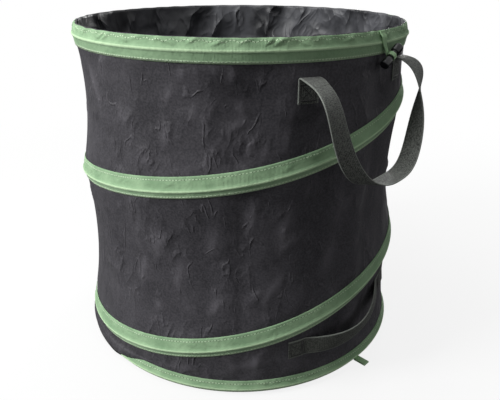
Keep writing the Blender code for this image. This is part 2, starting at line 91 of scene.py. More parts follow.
# Painted floor: matt and pale. Seen straight by the camera it is lighter, and goes to plain white
# away from the bag, so that only the bag's own shadow shows.
floor_material, tree = new_material("matt_pale_floor")
seen = add(tree, "LightPath").outputs
shader = add(tree, "BsdfPrincipled", {"Base Color": FLOOR_COLOUR, "Roughness": 0.9})
glow = add(tree, "Emission", {"Color": (1.0, 1.0, 1.0, 1.0), "Strength": seen["Is Camera Ray"]})
place = add(tree, "TexCoord").outputs["Object"]
reach = add(tree, "VectorMath", {0: place}, operation="LENGTH")
plain = add(tree, "MapRange", {
    "Value": reach, "From Min": FLOOR_SHADOWS_TO, "From Max": FLOOR_PLAIN_FROM,
    "To Min": FLOOR_GLOW,
})
mixed = add(tree, "MixShader", {0: plain, 1: shader, 2: glow})
add(tree, "OutputMaterial", {"Surface": mixed})
floor_mesh = bpy.data.meshes.new("floor")
corners = [(x * FLOOR_HALF, y * FLOOR_HALF, 0.0) for x, y in ((-1, -1), (1, -1), (1, 1), (-1, 1))]
floor_mesh.from_pydata(corners, [], [(0, 1, 2, 3)])
floor_mesh.materials.append(floor_material)
floor = bpy.data.objects.new("floor", floor_mesh)
bpy.context.scene.collection.objects.link(floor)

world = bpy.data.worlds.new("studio")
world.use_nodes = True
tree = world.node_tree
tree.nodes.clear()
seen = add(tree, "LightPath").outputs
straight = add(tree, "Math", {
    0: seen["Is Camera Ray"], 1: seen["Is Glossy Ray"],
}, operation="MAXIMUM")
straight = add(tree, "Math", {0: straight, 1: seen["Is Transmission Ray"]}, operation="MAXIMUM")
level = add(tree, "MapRange", {"Value": straight, "To Min": SKY_LIGHT, "To Max": 1.0})
sky = add(tree, "Background", {"Color": (1.0, 1.0, 1.0, 1.0), "Strength": level})
add(tree, "OutputWorld", {"Surface": sky})
bpy.context.scene.world = world

for name, place, aim, size, watts in (
    ("key_lamp", (-2.2, -0.85, 1.45), (0.0, 0.0, 0.30), 0.9, 72.0),
    ("fill_lamp", (1.2, -2.0, 1.0), (0.0, 0.0, 0.25), 1.6, 2.8),
    ("back_lamp", (1.1, 2.6, 0.45), (0.0, 0.0, 0.20), 0.8, 45.0),
    ("top_lamp", (-0.5, 0.2, 2.3), (0.0, 0.0, 0.2), 1.2, 16.0),
):
    lamp = bpy.data.lights.new(name, "AREA")
    lamp.size = size
    lamp.energy = watts
    holder = bpy.data.objects.new(name, lamp)
    holder.location = place
    holder.rotation_euler = (Vector(aim) - Vector(place)).to_track_quat("-Z", "Y").to_euler()
    bpy.context.scene.collection.objects.link(holder)

camera = bpy.data.objects.new("camera", bpy.data.cameras.new("camera"))
camera.location = CAMERA_PLACE
camera.rotation_euler = (math.radians(90.0 - CAMERA_PITCH), 0.0, 0.0)
camera.data.lens = CAMERA_LENS
camera.data.shift_x, camera.data.shift_y = CAMERA_SHIFT
bpy.context.scene.collection.objects.link(camera)
bpy.context.scene.camera = camera
bpy.context.scene.view_settings.view_transform = "Standard"


# The wall: one tube of black woven polyester, coated on its inner side. The spring's turns hold it
# out, so between them it draws in. It keeps the soft folds and sharp creases of its last folding.
BAG_HEIGHT = 0.467
TUBE_RADIUS = 0.235
WALL_LOW = 0.0033
CLOTH_THICKNESS = 0.0008
WALL_COLUMNS, WALL_ROWS = 404, 114
BOTTOM_WIRE, RIM_WIRE = 0.00908, 0.4525
SPIRAL_START, SPIRAL_END = -80.0, 540.0
SPIRAL_LOW, SPIRAL_HIGH = 0.0307, 0.4192
SPIRAL_TAPE_BELOW, SPIRAL_TAPE_ABOVE = 0.0098, 0.0182
BOTTOM_TAPE_TOP, RIM_TAPE_LOW = 0.0203, 0.438
WALL_DRAW, WALL_DRAW_SPAN = 0.0105, 0.200
WALL_HELD_SHARE = 0.40
WALL_LEAD_ANGLE = 30.0
LARGE_SLACK, SMALL_SLACK = 0.0009, 0.0006
SLACK_LEAD, SLACK_SPAN = 0.009, 0.050
EDGE_WAVE, EDGE_IN, EDGE_DIP = 0.0006, 0.0012, 0.0002
SEWN_GAP = 0.0003
SEWN_HALF, SEWN_FADE = 0.015, 0.026
CREASED_LOW, CREASED_HIGH = 0.02, 0.455
CREASE_SHORT, CREASE_LONG = 0.008, 0.026
CREASE_THIN, CREASE_THICK = 0.0022, 0.0042
# The crease height at which a crease's ridge is painted fully paler: partly wear, partly painted
# highlight.
PALE_CREASE_SIZE = 0.0020
SPIRAL_ANGLE_SHARES = np.array([0.0, 0.08, 0.14, 0.21, 0.27, 0.42, 0.59, 0.715, 0.83, 0.9, 1.0])
SPIRAL_RISE_SHARES = np.array([0.0, 0.05, 0.13, 0.25, 0.325, 0.455, 0.58, 0.69, 0.865, 0.94, 1.0])


def spiral_height(angle):
    """The wire's height along the spiral. Its share of the rise goes through the table's rows on
    cubics, each with its neighbours' slope at its ends: (2t^3 - 3t^2 + 1) a + (t^3 - 2t^2 + t) w sa
    + (3t^2 - 2t^3) b + (t^3 - t^2) w sb, where t is the share of a row's width w."""
    across, up = SPIRAL_ANGLE_SHARES, SPIRAL_RISE_SHARES
    slopes = np.gradient(up, across)
    slopes[0] = slopes[-1] = 0.0
    at = np.clip((np.asarray(angle, float) - SPIRAL_START) / (SPIRAL_END - SPIRAL_START), 0.0, 1.0)
    row = np.clip(np.searchsorted(across, at) - 1, 0, len(across) - 2)
    width = across[row + 1] - across[row]
    t = (at - across[row]) / width
    start = (2 * t**3 - 3 * t**2 + 1) * up[row] + (t**3 - 2 * t**2 + t) * width * slopes[row]
    end = (3 * t**2 - 2 * t**3) * up[row + 1] + (t**3 - t**2) * width * slopes[row + 1]
    return SPIRAL_LOW + (SPIRAL_HIGH - SPIRAL_LOW) * (start + end)


def eased(share):
    """A soft step from 0 to 1: 3 s^2 - 2 s^3 of the share, held within 0 and 1."""
    share = np.clip(share, 0.0, 1.0)
    return share * share * (3 - 2 * share)


def ripples(angle, height, seed, waves, turns, rises):
    """Smooth random waves over the tube, of about unit size: a sum of cosines of m times the angle
    plus k times the height, with m whole so that they close round the bag."""
    draw = np.random.default_rng(seed)
    total = np.zeros(np.broadcast(angle, height).shape)
    for _ in range(waves):
        m = draw.integers(turns[0], turns[1] + 1)
        k = draw.uniform(*rises) * draw.choice((-1.0, 1.0))
        size, phase = draw.uniform(0.5, 1.0), draw.uniform(0, 2 * np.pi)
        total += size * np.cos(m * np.radians(angle) + k * height + phase)
    return total / math.sqrt(0.3 * waves)


def way_round(angle, at):
    """How far round the bag an angle lies from another, the short way, in metres."""
    return np.radians((angle - at + 180.0) % 360.0 - 180.0) * TUBE_RADIUS


def creases(angle, height, rows):
    """Sharp folds, one for each row of (angle, height, tilt, length, width, size): size times
    exp(-|distance| / width) across the fold line, fading out softly along it."""
    total = np.zeros(np.broadcast(angle, height).shape)
    for at, up, tilt, length, width, size in rows:
        along, rise = way_round(angle, at), height - up
        c, s = math.cos(math.radians(tilt)), math.sin(math.radians(tilt))
        run, off = along * c + rise * s, rise * c - along * s
        total += size * np.exp(-np.abs(off) / width) * (1 - eased(np.abs(run) / length))
    return total


def random_creases(seed, count, size, tilts):
    """Rows of small creases, spread at random all over the wall, of 0.4 to 1 of the size."""
    draw = np.random.default_rng(seed)
    places = draw.uniform((-180.0, CREASED_LOW), (180.0, CREASED_HIGH), (count, 2))
    tilt = draw.uniform(*tilts, count) * draw.choice((-1, 1), count)
    shape = draw.uniform(
        (CREASE_SHORT, CREASE_THIN, 0.4 * size), (CREASE_LONG, CREASE_THICK, size), (count, 3)
    )
    shape[:, 2] *= draw.choice((-1, 1, 1), count)
    return np.column_stack([places, tilt, shape]).tolist()


FINE_CREASES = random_creases(seed=5, count=260, size=0.0024, tilts=(48.0, 89.0))
# The folds that stand out: down from the handle's patch, under the mid tape, and the tucks that
# the low tape makes at the right. Angle, height, tilt, half length, width, size.
PLAIN_CREASES = [
    (-16.0, 0.424, 84.0, 0.012, 0.0040, 0.0022), (-1.8, 0.424, 88.0, 0.012, 0.0040, 0.0018),
    (0.8, 0.384, -58.0, 0.020, 0.0050, 0.0026), (0.0, 0.367, 20.0, 0.022, 0.0055, 0.0026),
    (-13.0, 0.378, 66.0, 0.016, 0.0045, 0.0020), (-22.0, 0.350, 75.0, 0.022, 0.0050, 0.0018),
    (3.0, 0.338, 70.0, 0.020, 0.0045, 0.0020), (9.0, 0.345, 82.0, 0.018, 0.0040, -0.0018),
    (15.0, 0.382, 80.0, 0.020, 0.0042, 0.0026), (13.0, 0.405, 86.0, 0.016, 0.0045, -0.0018),
    (-58.0, 0.400, -62.0, 0.050, 0.0060, -0.0026), (-52.0, 0.395, -60.0, 0.050, 0.0060, 0.0024),
    (-46.0, 0.385, -56.0, 0.045, 0.0060, -0.0020), (-64.0, 0.350, -68.0, 0.045, 0.0060, 0.0020),
    (-26.0, 0.205, 60.0, 0.026, 0.0070, 0.0030), (-33.0, 0.160, 76.0, 0.036, 0.0070, 0.0028),
    (-36.0, 0.225, 68.0, 0.028, 0.0060, -0.0022), (-20.0, 0.160, 80.0, 0.030, 0.0070, 0.0020),
    (-8.0, 0.215, 76.0, 0.030, 0.0070, 0.0022), (4.0, 0.250, 82.0, 0.030, 0.0055, 0.0024),
    (14.0, 0.235, 78.0, 0.040, 0.0070, 0.0026), (24.0, 0.262, 84.0, 0.030, 0.0060, -0.0022),
    (33.0, 0.255, 86.0, 0.045, 0.0065, 0.0024), (44.0, 0.270, 78.0, 0.050, 0.0070, 0.0026),
    (10.0, 0.150, 60.0, 0.040, 0.0070, 0.0020), (30.0, 0.185, 74.0, 0.045, 0.0070, 0.0022),
    (20.0, 0.055, 24.0, 0.040, 0.0055, 0.0030), (30.0, 0.066, 32.0, 0.040, 0.0060, -0.0026),
    (38.0, 0.084, 38.0, 0.030, 0.0045, 0.0030), (4.0, 0.044, 12.0, 0.045, 0.0060, 0.0022),
    (48.0, 0.092, 58.0, 0.030, 0.0050, 0.0026), (-20.0, 0.030, 8.0, 0.040, 0.0045, 0.0018),
]
# The middles of the handles' sewn ends, where the cloth lies plain: angle and height.
SEWN_PATCHES = (
    (19.0, 0.405), (58.0, 0.413), (199.0, 0.405), (238.0, 0.413),
    (18.6, 0.062), (58.9, 0.101),
)


def wall_out(angle, height):
    """How far the wall's outer face stands outside the plain tube. On a bare stretch between two
    tapes it draws in by depth 4 u (1 - u), with u the share of the way up, and the depth grows with
    the span to the power 1.5. Folds and creases are added where the cloth is bare and, over the top
    wire, a wavy edge. It lies plain round each sewn end."""
    angle = (np.asarray(angle, float) + 180.0) % 360.0 - 180.0
    first, second = spiral_height(np.maximum(angle, SPIRAL_START)), spiral_height(angle + 360.0)
    started = eased((angle - SPIRAL_START) / WALL_LEAD_ANGLE + 1)
    ended = 1 - eased((angle + 180.0) / WALL_LEAD_ANGLE)
    drawn = np.zeros(np.broadcast(angle, height).shape)
    bare = np.zeros(drawn.shape)
    over_bottom = BOTTOM_TAPE_TOP + (first + SPIRAL_TAPE_ABOVE - BOTTOM_TAPE_TOP) * started
    under_rim = RIM_TAPE_LOW - (RIM_TAPE_LOW - SPIRAL_HIGH + SPIRAL_TAPE_BELOW) * ended
    for low, high in (
        (BOTTOM_TAPE_TOP, first - SPIRAL_TAPE_BELOW),
        (over_bottom, second - SPIRAL_TAPE_BELOW),
        (second + SPIRAL_TAPE_ABOVE, under_rim),
    ):
        span = np.maximum(high - low, SEWN_GAP)
        u = np.clip((height - low) / span, 0.0, 1.0)
        drawn += WALL_DRAW * (span / WALL_DRAW_SPAN) ** 1.5 * 4 * u * (1 - u)
        bare += eased(np.minimum(u, 1 - u) * span / SLACK_LEAD) * np.minimum(span / SLACK_SPAN, 1.0)
    drawn *= 1 - WALL_HELD_SHARE * np.sin(np.radians(2 * angle)) ** 2
    large = ripples(angle, height, seed=11, waves=26, turns=(3, 16), rises=(0.0, 16.0))
    small = ripples(angle, height, seed=23, waves=18, turns=(14, 34), rises=(0.0, 7.0))
    slack = LARGE_SLACK * large + SMALL_SLACK * small
    out = (slack + creases(angle, height, PLAIN_CREASES + FINE_CREASES)) * bare - drawn
    edge = np.clip((height - RIM_WIRE) / (BAG_HEIGHT - RIM_WIRE), 0.0, 1.0)
    wave = ripples(angle, height, seed=31, waves=14, turns=(20, 60), rises=(0.0, 5.0))
    out += edge * (EDGE_WAVE * wave - EDGE_IN)
    for at, up in SEWN_PATCHES:
        plain_along = 1 - eased((np.abs(way_round(angle, at)) - SEWN_HALF) / SEWN_FADE)
        plain_up = 1 - eased((np.abs(height - up) - SEWN_HALF) / SEWN_FADE)
        out *= 1 - plain_along * plain_up
    return out


def on_tube(angle, out, height):
    """Points round the bag, this far outside the tube: r sin a, -r cos a and the height."""
    turn = np.radians(angle)
    radius = TUBE_RADIUS + out
    x, y = radius * np.sin(turn), -radius * np.cos(turn)
    return np.stack(np.broadcast_arrays(x, y, height), axis=-1)


def lay_grid(name, points, across, along, wrap=False, capped=False):
    """A mesh of quads over a grid of points, whose UVs are its two lengths in metres, across and
    along the piece. With wrap the last column joins the first, and with capped a flat face closes
    the first row and the last."""
    rows, columns = points.shape[:2]
    index = np.arange(rows * columns).reshape(rows, columns)
    caps = [index[0, ::-1].tolist(), index[-1].tolist()] if capped else []
    if wrap:
        index = np.concatenate([index, index[:, :1]], axis=1)
    u, v = np.broadcast_arrays(np.asarray(across)[:, None], np.asarray(along)[None, :])
    faces, spread = (
        np.stack([grid[:-1, :-1], grid[:-1, 1:], grid[1:, 1:], grid[1:, :-1]], axis=2)
        for grid in (index, np.stack([v, u], axis=-1))
    )
    flat = np.append(spread.reshape(-1), np.zeros(2 * sum(len(cap) for cap in caps)))
    mesh = bpy.data.meshes.new(name)
    mesh.from_pydata(points.reshape(-1, 3).tolist(), [], faces.reshape(-1, 4).tolist() + caps)
    mesh.uv_layers.new(name="UVMap").data.foreach_set("uv", flat.astype(np.float32))
    mesh.shade_smooth()
    return mesh


def add_piece(mesh, materials, body, nodes, thickness=0.0, offset=1.0):
    """Puts a mesh in the scene as a piece on a body that stands for CAD nodes. Cloth gets its
    thickness from Solidify, whose inner side takes the second material where there are two."""
    piece = bpy.data.objects.new(mesh.name, mesh)
    bpy.context.scene.collection.objects.link(piece)
    for material in materials:
        mesh.materials.append(material)
    if thickness:
        cloth = piece.modifiers.new("thickness", "SOLIDIFY")
        cloth.thickness = thickness
        cloth.offset = offset
        cloth.material_offset = len(materials) - 1
    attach(piece, body)
    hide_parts(*nodes)
    return piece


def apart(tree, value, other):
    """How far two values in a material lie apart: |value - other|."""
    off = add(tree, "Math", {0: value, 1: other}, operation="SUBTRACT")
    return add(tree, "Math", {0: off}, operation="ABSOLUTE")


def crumpled(tree, uv, sway, swing, upright, ridges):
    """Long hard folds in cloth: ridges of noise. The places that they are drawn over are first
    swung aside by a soft noise, whose scale is sway and whose size is swing, and a small upright
    makes the folds longer upwards. Returns the ridges and the swung places."""
    bend = add(tree, "TexNoise", {"Vector": uv, "Scale": sway, "Detail": 2.0})
    bent = add(tree, "VectorMath", {
        0: bend.outputs["Color"], 1: swing, 2: uv,
    }, operation="MULTIPLY_ADD")
    stretched = add(tree, "Mapping", {"Vector": bent, "Scale": (1.0, upright, 1.0)})
    folds = add(tree, "TexNoise", {
        "Vector": stretched, "Offset": 0.85, "Gain": 1.4, **ridges,
    }, noise_type="RIDGED_MULTIFRACTAL")
    return folds, bent


# Woven polyester, 600 denier, piece-dyed near black: matt, with a faint grid of threads, small hard
# creases in patches, and a grey bloom along the ridges of creases and nicks, partly wear from
# folding and partly painted highlight. Real threads lie 0.5 mm apart; they are drawn 1.4 mm apart
# to show.
# A wave texture of scale 1 repeats every pi / 10 m.
THREAD_PITCH = 0.0014
BAND = math.pi / 10
woven_black, tree = new_material("woven_polyester")
uv = add(tree, "UVMap", uv_map="UVMap")
place = add(tree, "TexCoord").outputs["Object"]
threads = {"Vector": uv, "Scale": BAND / THREAD_PITCH, "Distortion": 0.4}
weft, warp = (add(tree, "TexWave", threads, bands_direction=way).outputs["Fac"] for way in "XY")
weave = add(tree, "Math", {0: weft, 1: warp}, operation="MULTIPLY")
cloudy = add(tree, "TexNoise", {"Vector": place, "Scale": 13.0, "Detail": 7.0, "Roughness": 0.72})
grain = add(tree, "TexNoise", {"Vector": place, "Scale": 420.0, "Detail": 2.0})
crease_wear_and_highlight = add(tree, "Attribute", attribute_name="crease_wear_and_highlight")
crumple, bent = crumpled(tree, uv, 14.0, (0.045, 0.045, 0.0), 0.45, {
    "Scale": 27.0, "Detail": 3.0, "Roughness": 0.7, "Lacunarity": 2.1,
})
patches = add(tree, "TexNoise", {"Vector": uv, "Scale": 11.0, "Detail": 2.0})
patchy = add(tree, "MapRange", {
    "Value": patches, "From Min": 0.46, "From Max": 0.64, "To Min": 0.12,
})
hard = add(tree, "Math", {0: crumple, 1: patchy}, operation="MULTIPLY")
tone = add(tree, "MapRange", {
    "Value": cloudy, "From Min": 0.3, "From Max": 0.7, "To Min": 0.0, "To Max": 0.7,
})
tone = add(tree, "Mix", {"Factor": 0.15, "A": tone, "B": weave}, data_type="FLOAT")
speck = add(tree, "MapRange", {
    "Value": grain, "From Min": 0.35, "From Max": 0.65, "To Min": -0.22, "To Max": 0.22,
})
tone = add(tree, "Math", {0: tone, 1: speck}, operation="ADD")
tall = add(tree, "Mapping", {"Vector": bent, "Scale": (1.0, 0.34, 1.0)})
swells = add(tree, "TexNoise", {"Vector": tall, "Scale": 52.0, "Detail": 1.0})
lines = add(tree, "MapRange", {
    "Value": apart(tree, swells, 0.5), "From Max": 0.032, "To Min": 1.0, "To Max": 0.0,
})
broken = add(tree, "TexNoise", {"Vector": uv, "Scale": 38.0, "Detail": 2.0})
broken = add(tree, "MapRange", {"Value": broken, "From Min": 0.53, "From Max": 0.61})
nick = add(tree, "Math", {0: lines, 1: broken}, operation="MULTIPLY")
# The ridges of creases and the nicks are painted paler: partly wear, partly painted highlight.
pale = add(tree, "Math", {0: nick, 1: 0.35, 2: crease_wear_and_highlight.outputs["Fac"]}, operation="MULTIPLY_ADD")
tone = add(tree, "Math", {0: pale, 1: 0.7, 2: tone}, operation="MULTIPLY_ADD", use_clamp=True)
colour = add(tree, "Mix", {"Factor": tone, "A": "#2F2E32", "B": "#565459"}, data_type="RGBA")
first = add(tree, "Bump", {"Height": weave, "Strength": 0.3, "Distance": 0.0004})
second = add(tree, "Bump", {"Height": hard, "Strength": 0.9, "Distance": 0.0027, "Normal": first})
third = add(tree, "Bump", {"Height": nick, "Strength": 0.9, "Distance": 0.0012, "Normal": second})
shader = add(tree, "BsdfPrincipled", {
    "Roughness": 0.62, "Specular IOR Level": 0.22, "Sheen Weight": 0.05, "Sheen Roughness": 0.5,
    "Base Color": colour, "Normal": third,
})
add(tree, "OutputMaterial", {"Surface": shader})

# The same cloth's inner side, coated with polyurethane: a dark grey film with a soft shine, whose
# long hard folds turn light and dark.
coated_grey, tree = new_material("polyurethane_coating")
uv = add(tree, "UVMap", uv_map="UVMap")
place = add(tree, "TexCoord").outputs["Object"]
crumple, _ = crumpled(tree, uv, 9.0, (0.10, 0.06, 0.0), 0.55, {
    "Scale": 15.0, "Detail": 2.5, "Roughness": 0.55, "Lacunarity": 2.3,
})
hazy = add(tree, "TexNoise", {"Vector": place, "Scale": 14.0, "Detail": 4.0, "Roughness": 0.6})
bump = add(tree, "Bump", {"Height": crumple, "Strength": 0.85, "Distance": 0.012})
clouded = add(tree, "MapRange", {"Value": hazy, "From Min": 0.38, "From Max": 0.62})
colour = add(tree, "Mix", {"Factor": clouded, "A": "#1D1E21", "B": "#515256"}, data_type="RGBA")
gloss = add(tree, "MapRange", {
    "Value": hazy, "From Min": 0.3, "From Max": 0.7, "To Min": 0.42, "To Max": 0.56,
})
shader = add(tree, "BsdfPrincipled", {
    "Base Color": colour, "Roughness": gloss, "Specular IOR Level": 0.4, "Normal": bump,
})
add(tree, "OutputMaterial", {"Surface": shader})

angles = np.linspace(-180.0, 180.0, WALL_COLUMNS, endpoint=False)[None, :]
# At the lower left the slack cloth hangs over the bottom tape in one fold: over the tape's top
# edge, down outside it and back up. Each row is a height, and how far it goes out and up.
FOLD_FROM, FOLD_TO = -96.0, -50.0
FOLD_RISES_OVER, FOLD_FALLS_OVER = 10.0, 22.0
FOLD_ROWS = np.array([
    (0.0, 0.0, 0.0), (0.0004, 0.0032, 0.0008), (0.0008, 0.0050, -0.0030),
    (0.0012, 0.0060, -0.0095), (0.0016, 0.0063, -0.0155), (0.0020, 0.0069, -0.0085),
    (0.0024, 0.0046, -0.0012), (0.0030, 0.0, 0.0),
])
fold_heights = BOTTOM_TAPE_TOP + FOLD_ROWS[:, 0]
heights = np.linspace(WALL_LOW, BAG_HEIGHT, WALL_ROWS)
heights = np.sort(np.append(heights, fold_heights))[:, None]
slack_fold = eased((angles - FOLD_FROM) / FOLD_RISES_OVER)
slack_fold = slack_fold * (1 - eased((angles - FOLD_TO) / FOLD_FALLS_OVER))
out = wall_out(angles, heights) + slack_fold * np.interp(heights, fold_heights, FOLD_ROWS[:, 1])
dips = ripples(angles, 0.0, seed=41, waves=12, turns=(18, 50), rises=(0.0, 1.0))
edge_wave = np.minimum(EDGE_DIP * dips - EDGE_DIP, 0.0)
wavy = heights + edge_wave * eased((heights - RIM_WIRE) / (BAG_HEIGHT - RIM_WIRE))
wavy = wavy + slack_fold * np.interp(heights, fold_heights, FOLD_ROWS[:, 2])
wall_mesh = lay_grid(
    "wall_fabric_cloth", on_tube(angles, out - CLOTH_THICKNESS, wavy), heights[:, 0],
    np.radians(np.append(angles, 180.0)) * TUBE_RADIUS, wrap=True,
)
# The ridges of creases, which the cloth paints paler: partly wear, partly painted highlight.
sharp = np.clip(creases(angles, heights, PLAIN_CREASES + FINE_CREASES) / PALE_CREASE_SIZE, 0.0, 1.0)
crease_wear_and_highlight = wall_mesh.attributes.new("crease_wear_and_highlight", "FLOAT", "POINT")
crease_wear_and_highlight.data.foreach_set("value", sharp.reshape(-1).astype(np.float32))
wall = add_piece(
    wall_mesh, (woven_black, coated_grey), "base", ("wall_fabric",), CLOTH_THICKNESS
)
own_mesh(wall)


# The base: a round of the same cloth, coated side up, sewn to the wall's lower edge. It lies on the
# ground in shallow swells and turns up at the seam. A square grid becomes a round one by
# x = p sqrt(1 - q^2 / 2), and the same for y with p and q changed over.
BASE_RADIUS = 0.2338
BASE_TURN_FROM, BASE_TURN_UP = 0.222, 0.0043
BASE_SWELL, BASE_LIFT = 0.0011, 0.00005
BASE_CELLS = 72
side = np.linspace(-1.0, 1.0, BASE_CELLS + 1)
p, q = np.meshgrid(side, side)
x, y = BASE_RADIUS * p * np.sqrt(1 - q * q / 2), BASE_RADIUS * q * np.sqrt(1 - p * p / 2)
reach = np.hypot(x, y)
bearing = np.degrees(np.arctan2(x, -y))
swell = ripples(bearing, reach, seed=57, waves=20, turns=(2, 9), rises=(8.0, 45.0))
lifted = BASE_SWELL * np.clip(0.5 + 0.5 * swell, 0.0, 1.6) * eased(1 - reach / BASE_RADIUS + 0.15)
turned_up = BASE_TURN_UP * eased((reach - BASE_TURN_FROM) / (BASE_RADIUS - BASE_TURN_FROM))
points = np.stack([x, y, BASE_LIFT + lifted + turned_up], axis=-1)
base_mesh = lay_grid("base_panel_cloth", points, side * BASE_RADIUS, side * BASE_RADIUS)
base_mesh.attributes.new("crease_wear_and_highlight", "FLOAT", "POINT")
base = add_piece(
    base_mesh, (coated_grey, woven_black), "base", ("base_panel",), CLOTH_THICKNESS
)


# The spring: one drawn steel wire of 3.2 mm. Its flat top and bottom turns are the frame's own
# solids, and its climbing turns are a tube here, because they fold down with the wall.
WIRE_RADIUS = 0.0016
WIRE_OUT = SEWN_GAP + WIRE_RADIUS
WIRE_SIDES = 10
WIRE_STEPS = 480
# Drawn steel, still oiled: a grey metal, clouded by the oil, whose fine drawing marks, about 1 mm
# apart, break up its shine.
drawn_steel, tree = new_material("drawn_spring_steel")
place = add(tree, "TexCoord").outputs["Object"]
lines = add(tree, "TexNoise", {"Vector": place, "Scale": 900.0, "Detail": 2.0})
rub = add(tree, "MapRange", {"Value": lines, "To Min": 0.28, "To Max": 0.46})
oiled = add(tree, "TexNoise", {"Vector": place, "Scale": 18.0, "Detail": 3.0})
colour = add(tree, "Mix", {"Factor": oiled, "A": "#6E6F72", "B": "#9A9B9E"}, data_type="RGBA")
shader = add(tree, "BsdfPrincipled", {"Metallic": 1.0, "Base Color": colour, "Roughness": rub})
add(tree, "OutputMaterial", {"Surface": shader})
for name in ("rim_hoop", "bottom_hoop"):
    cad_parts[name].data.materials.clear()
    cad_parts[name].data.materials.append(drawn_steel)

# The tube's rings lie along the wire's course, R cos b outwards and R sin b downwards from it.
turn = np.linspace(SPIRAL_START, SPIRAL_END, WIRE_STEPS)[:, None]
round_wire = np.linspace(0.0, 2 * np.pi, WIRE_SIDES + 1)
out = WIRE_OUT + WIRE_RADIUS * np.cos(round_wire[:-1])
height = spiral_height(turn) - WIRE_RADIUS * np.sin(round_wire[:-1])
spring_mesh = lay_grid(
    "spiral_spring_wire", on_tube(turn, out, height), np.radians(turn[:, 0]) * TUBE_RADIUS,
    round_wire * WIRE_RADIUS, wrap=True, capped=True,
)
spring = add_piece(spring_mesh, (drawn_steel,), "base", ("spiral_spring",))
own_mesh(spring)


# The tapes: sage-green woven tape, sewn over the wire on the outside only, with a row of stitches
# along each edge. The wire makes a ridge in it, and the sewing gathers it into small puckers.
TAPE_THICKNESS = 0.0008
TAPE_GAP = 0.0003
RIDGE_RISE = 0.0042
CREST_HALF = 0.0022
CREST_ROWS_TO, SLOPE_ROWS_FROM = 0.0032, 0.0042
PUCKER_SPACING = 3.5
PUCKER_LEANS, PUCKER_LENGTHS, PUCKER_WIDTHS = (12.0, 40.0), (0.007, 0.020), (0.0012, 0.0024)
RING_COLUMNS, SPIRAL_COLUMNS = 1080, 1800
STITCH_LENGTH = 0.0042
STITCH_GAP_FROM, STITCH_GAP_TO = 0.0004, 0.0009
LOWER_STITCHES_IN, LOWER_STITCHES_HALF = 0.0021, 0.0010
UPPER_STITCHES_IN, UPPER_STITCHES_HALF = 0.0042, 0.0006
# How far the painted highlight reaches up from the tape's lower edge, and to each side of the
# wire's crest.
TAPE_EDGE_HIGHLIGHT, TAPE_CREST_HIGHLIGHT_HALF = 0.0042, 0.0015
RIB_PITCH = 0.0015


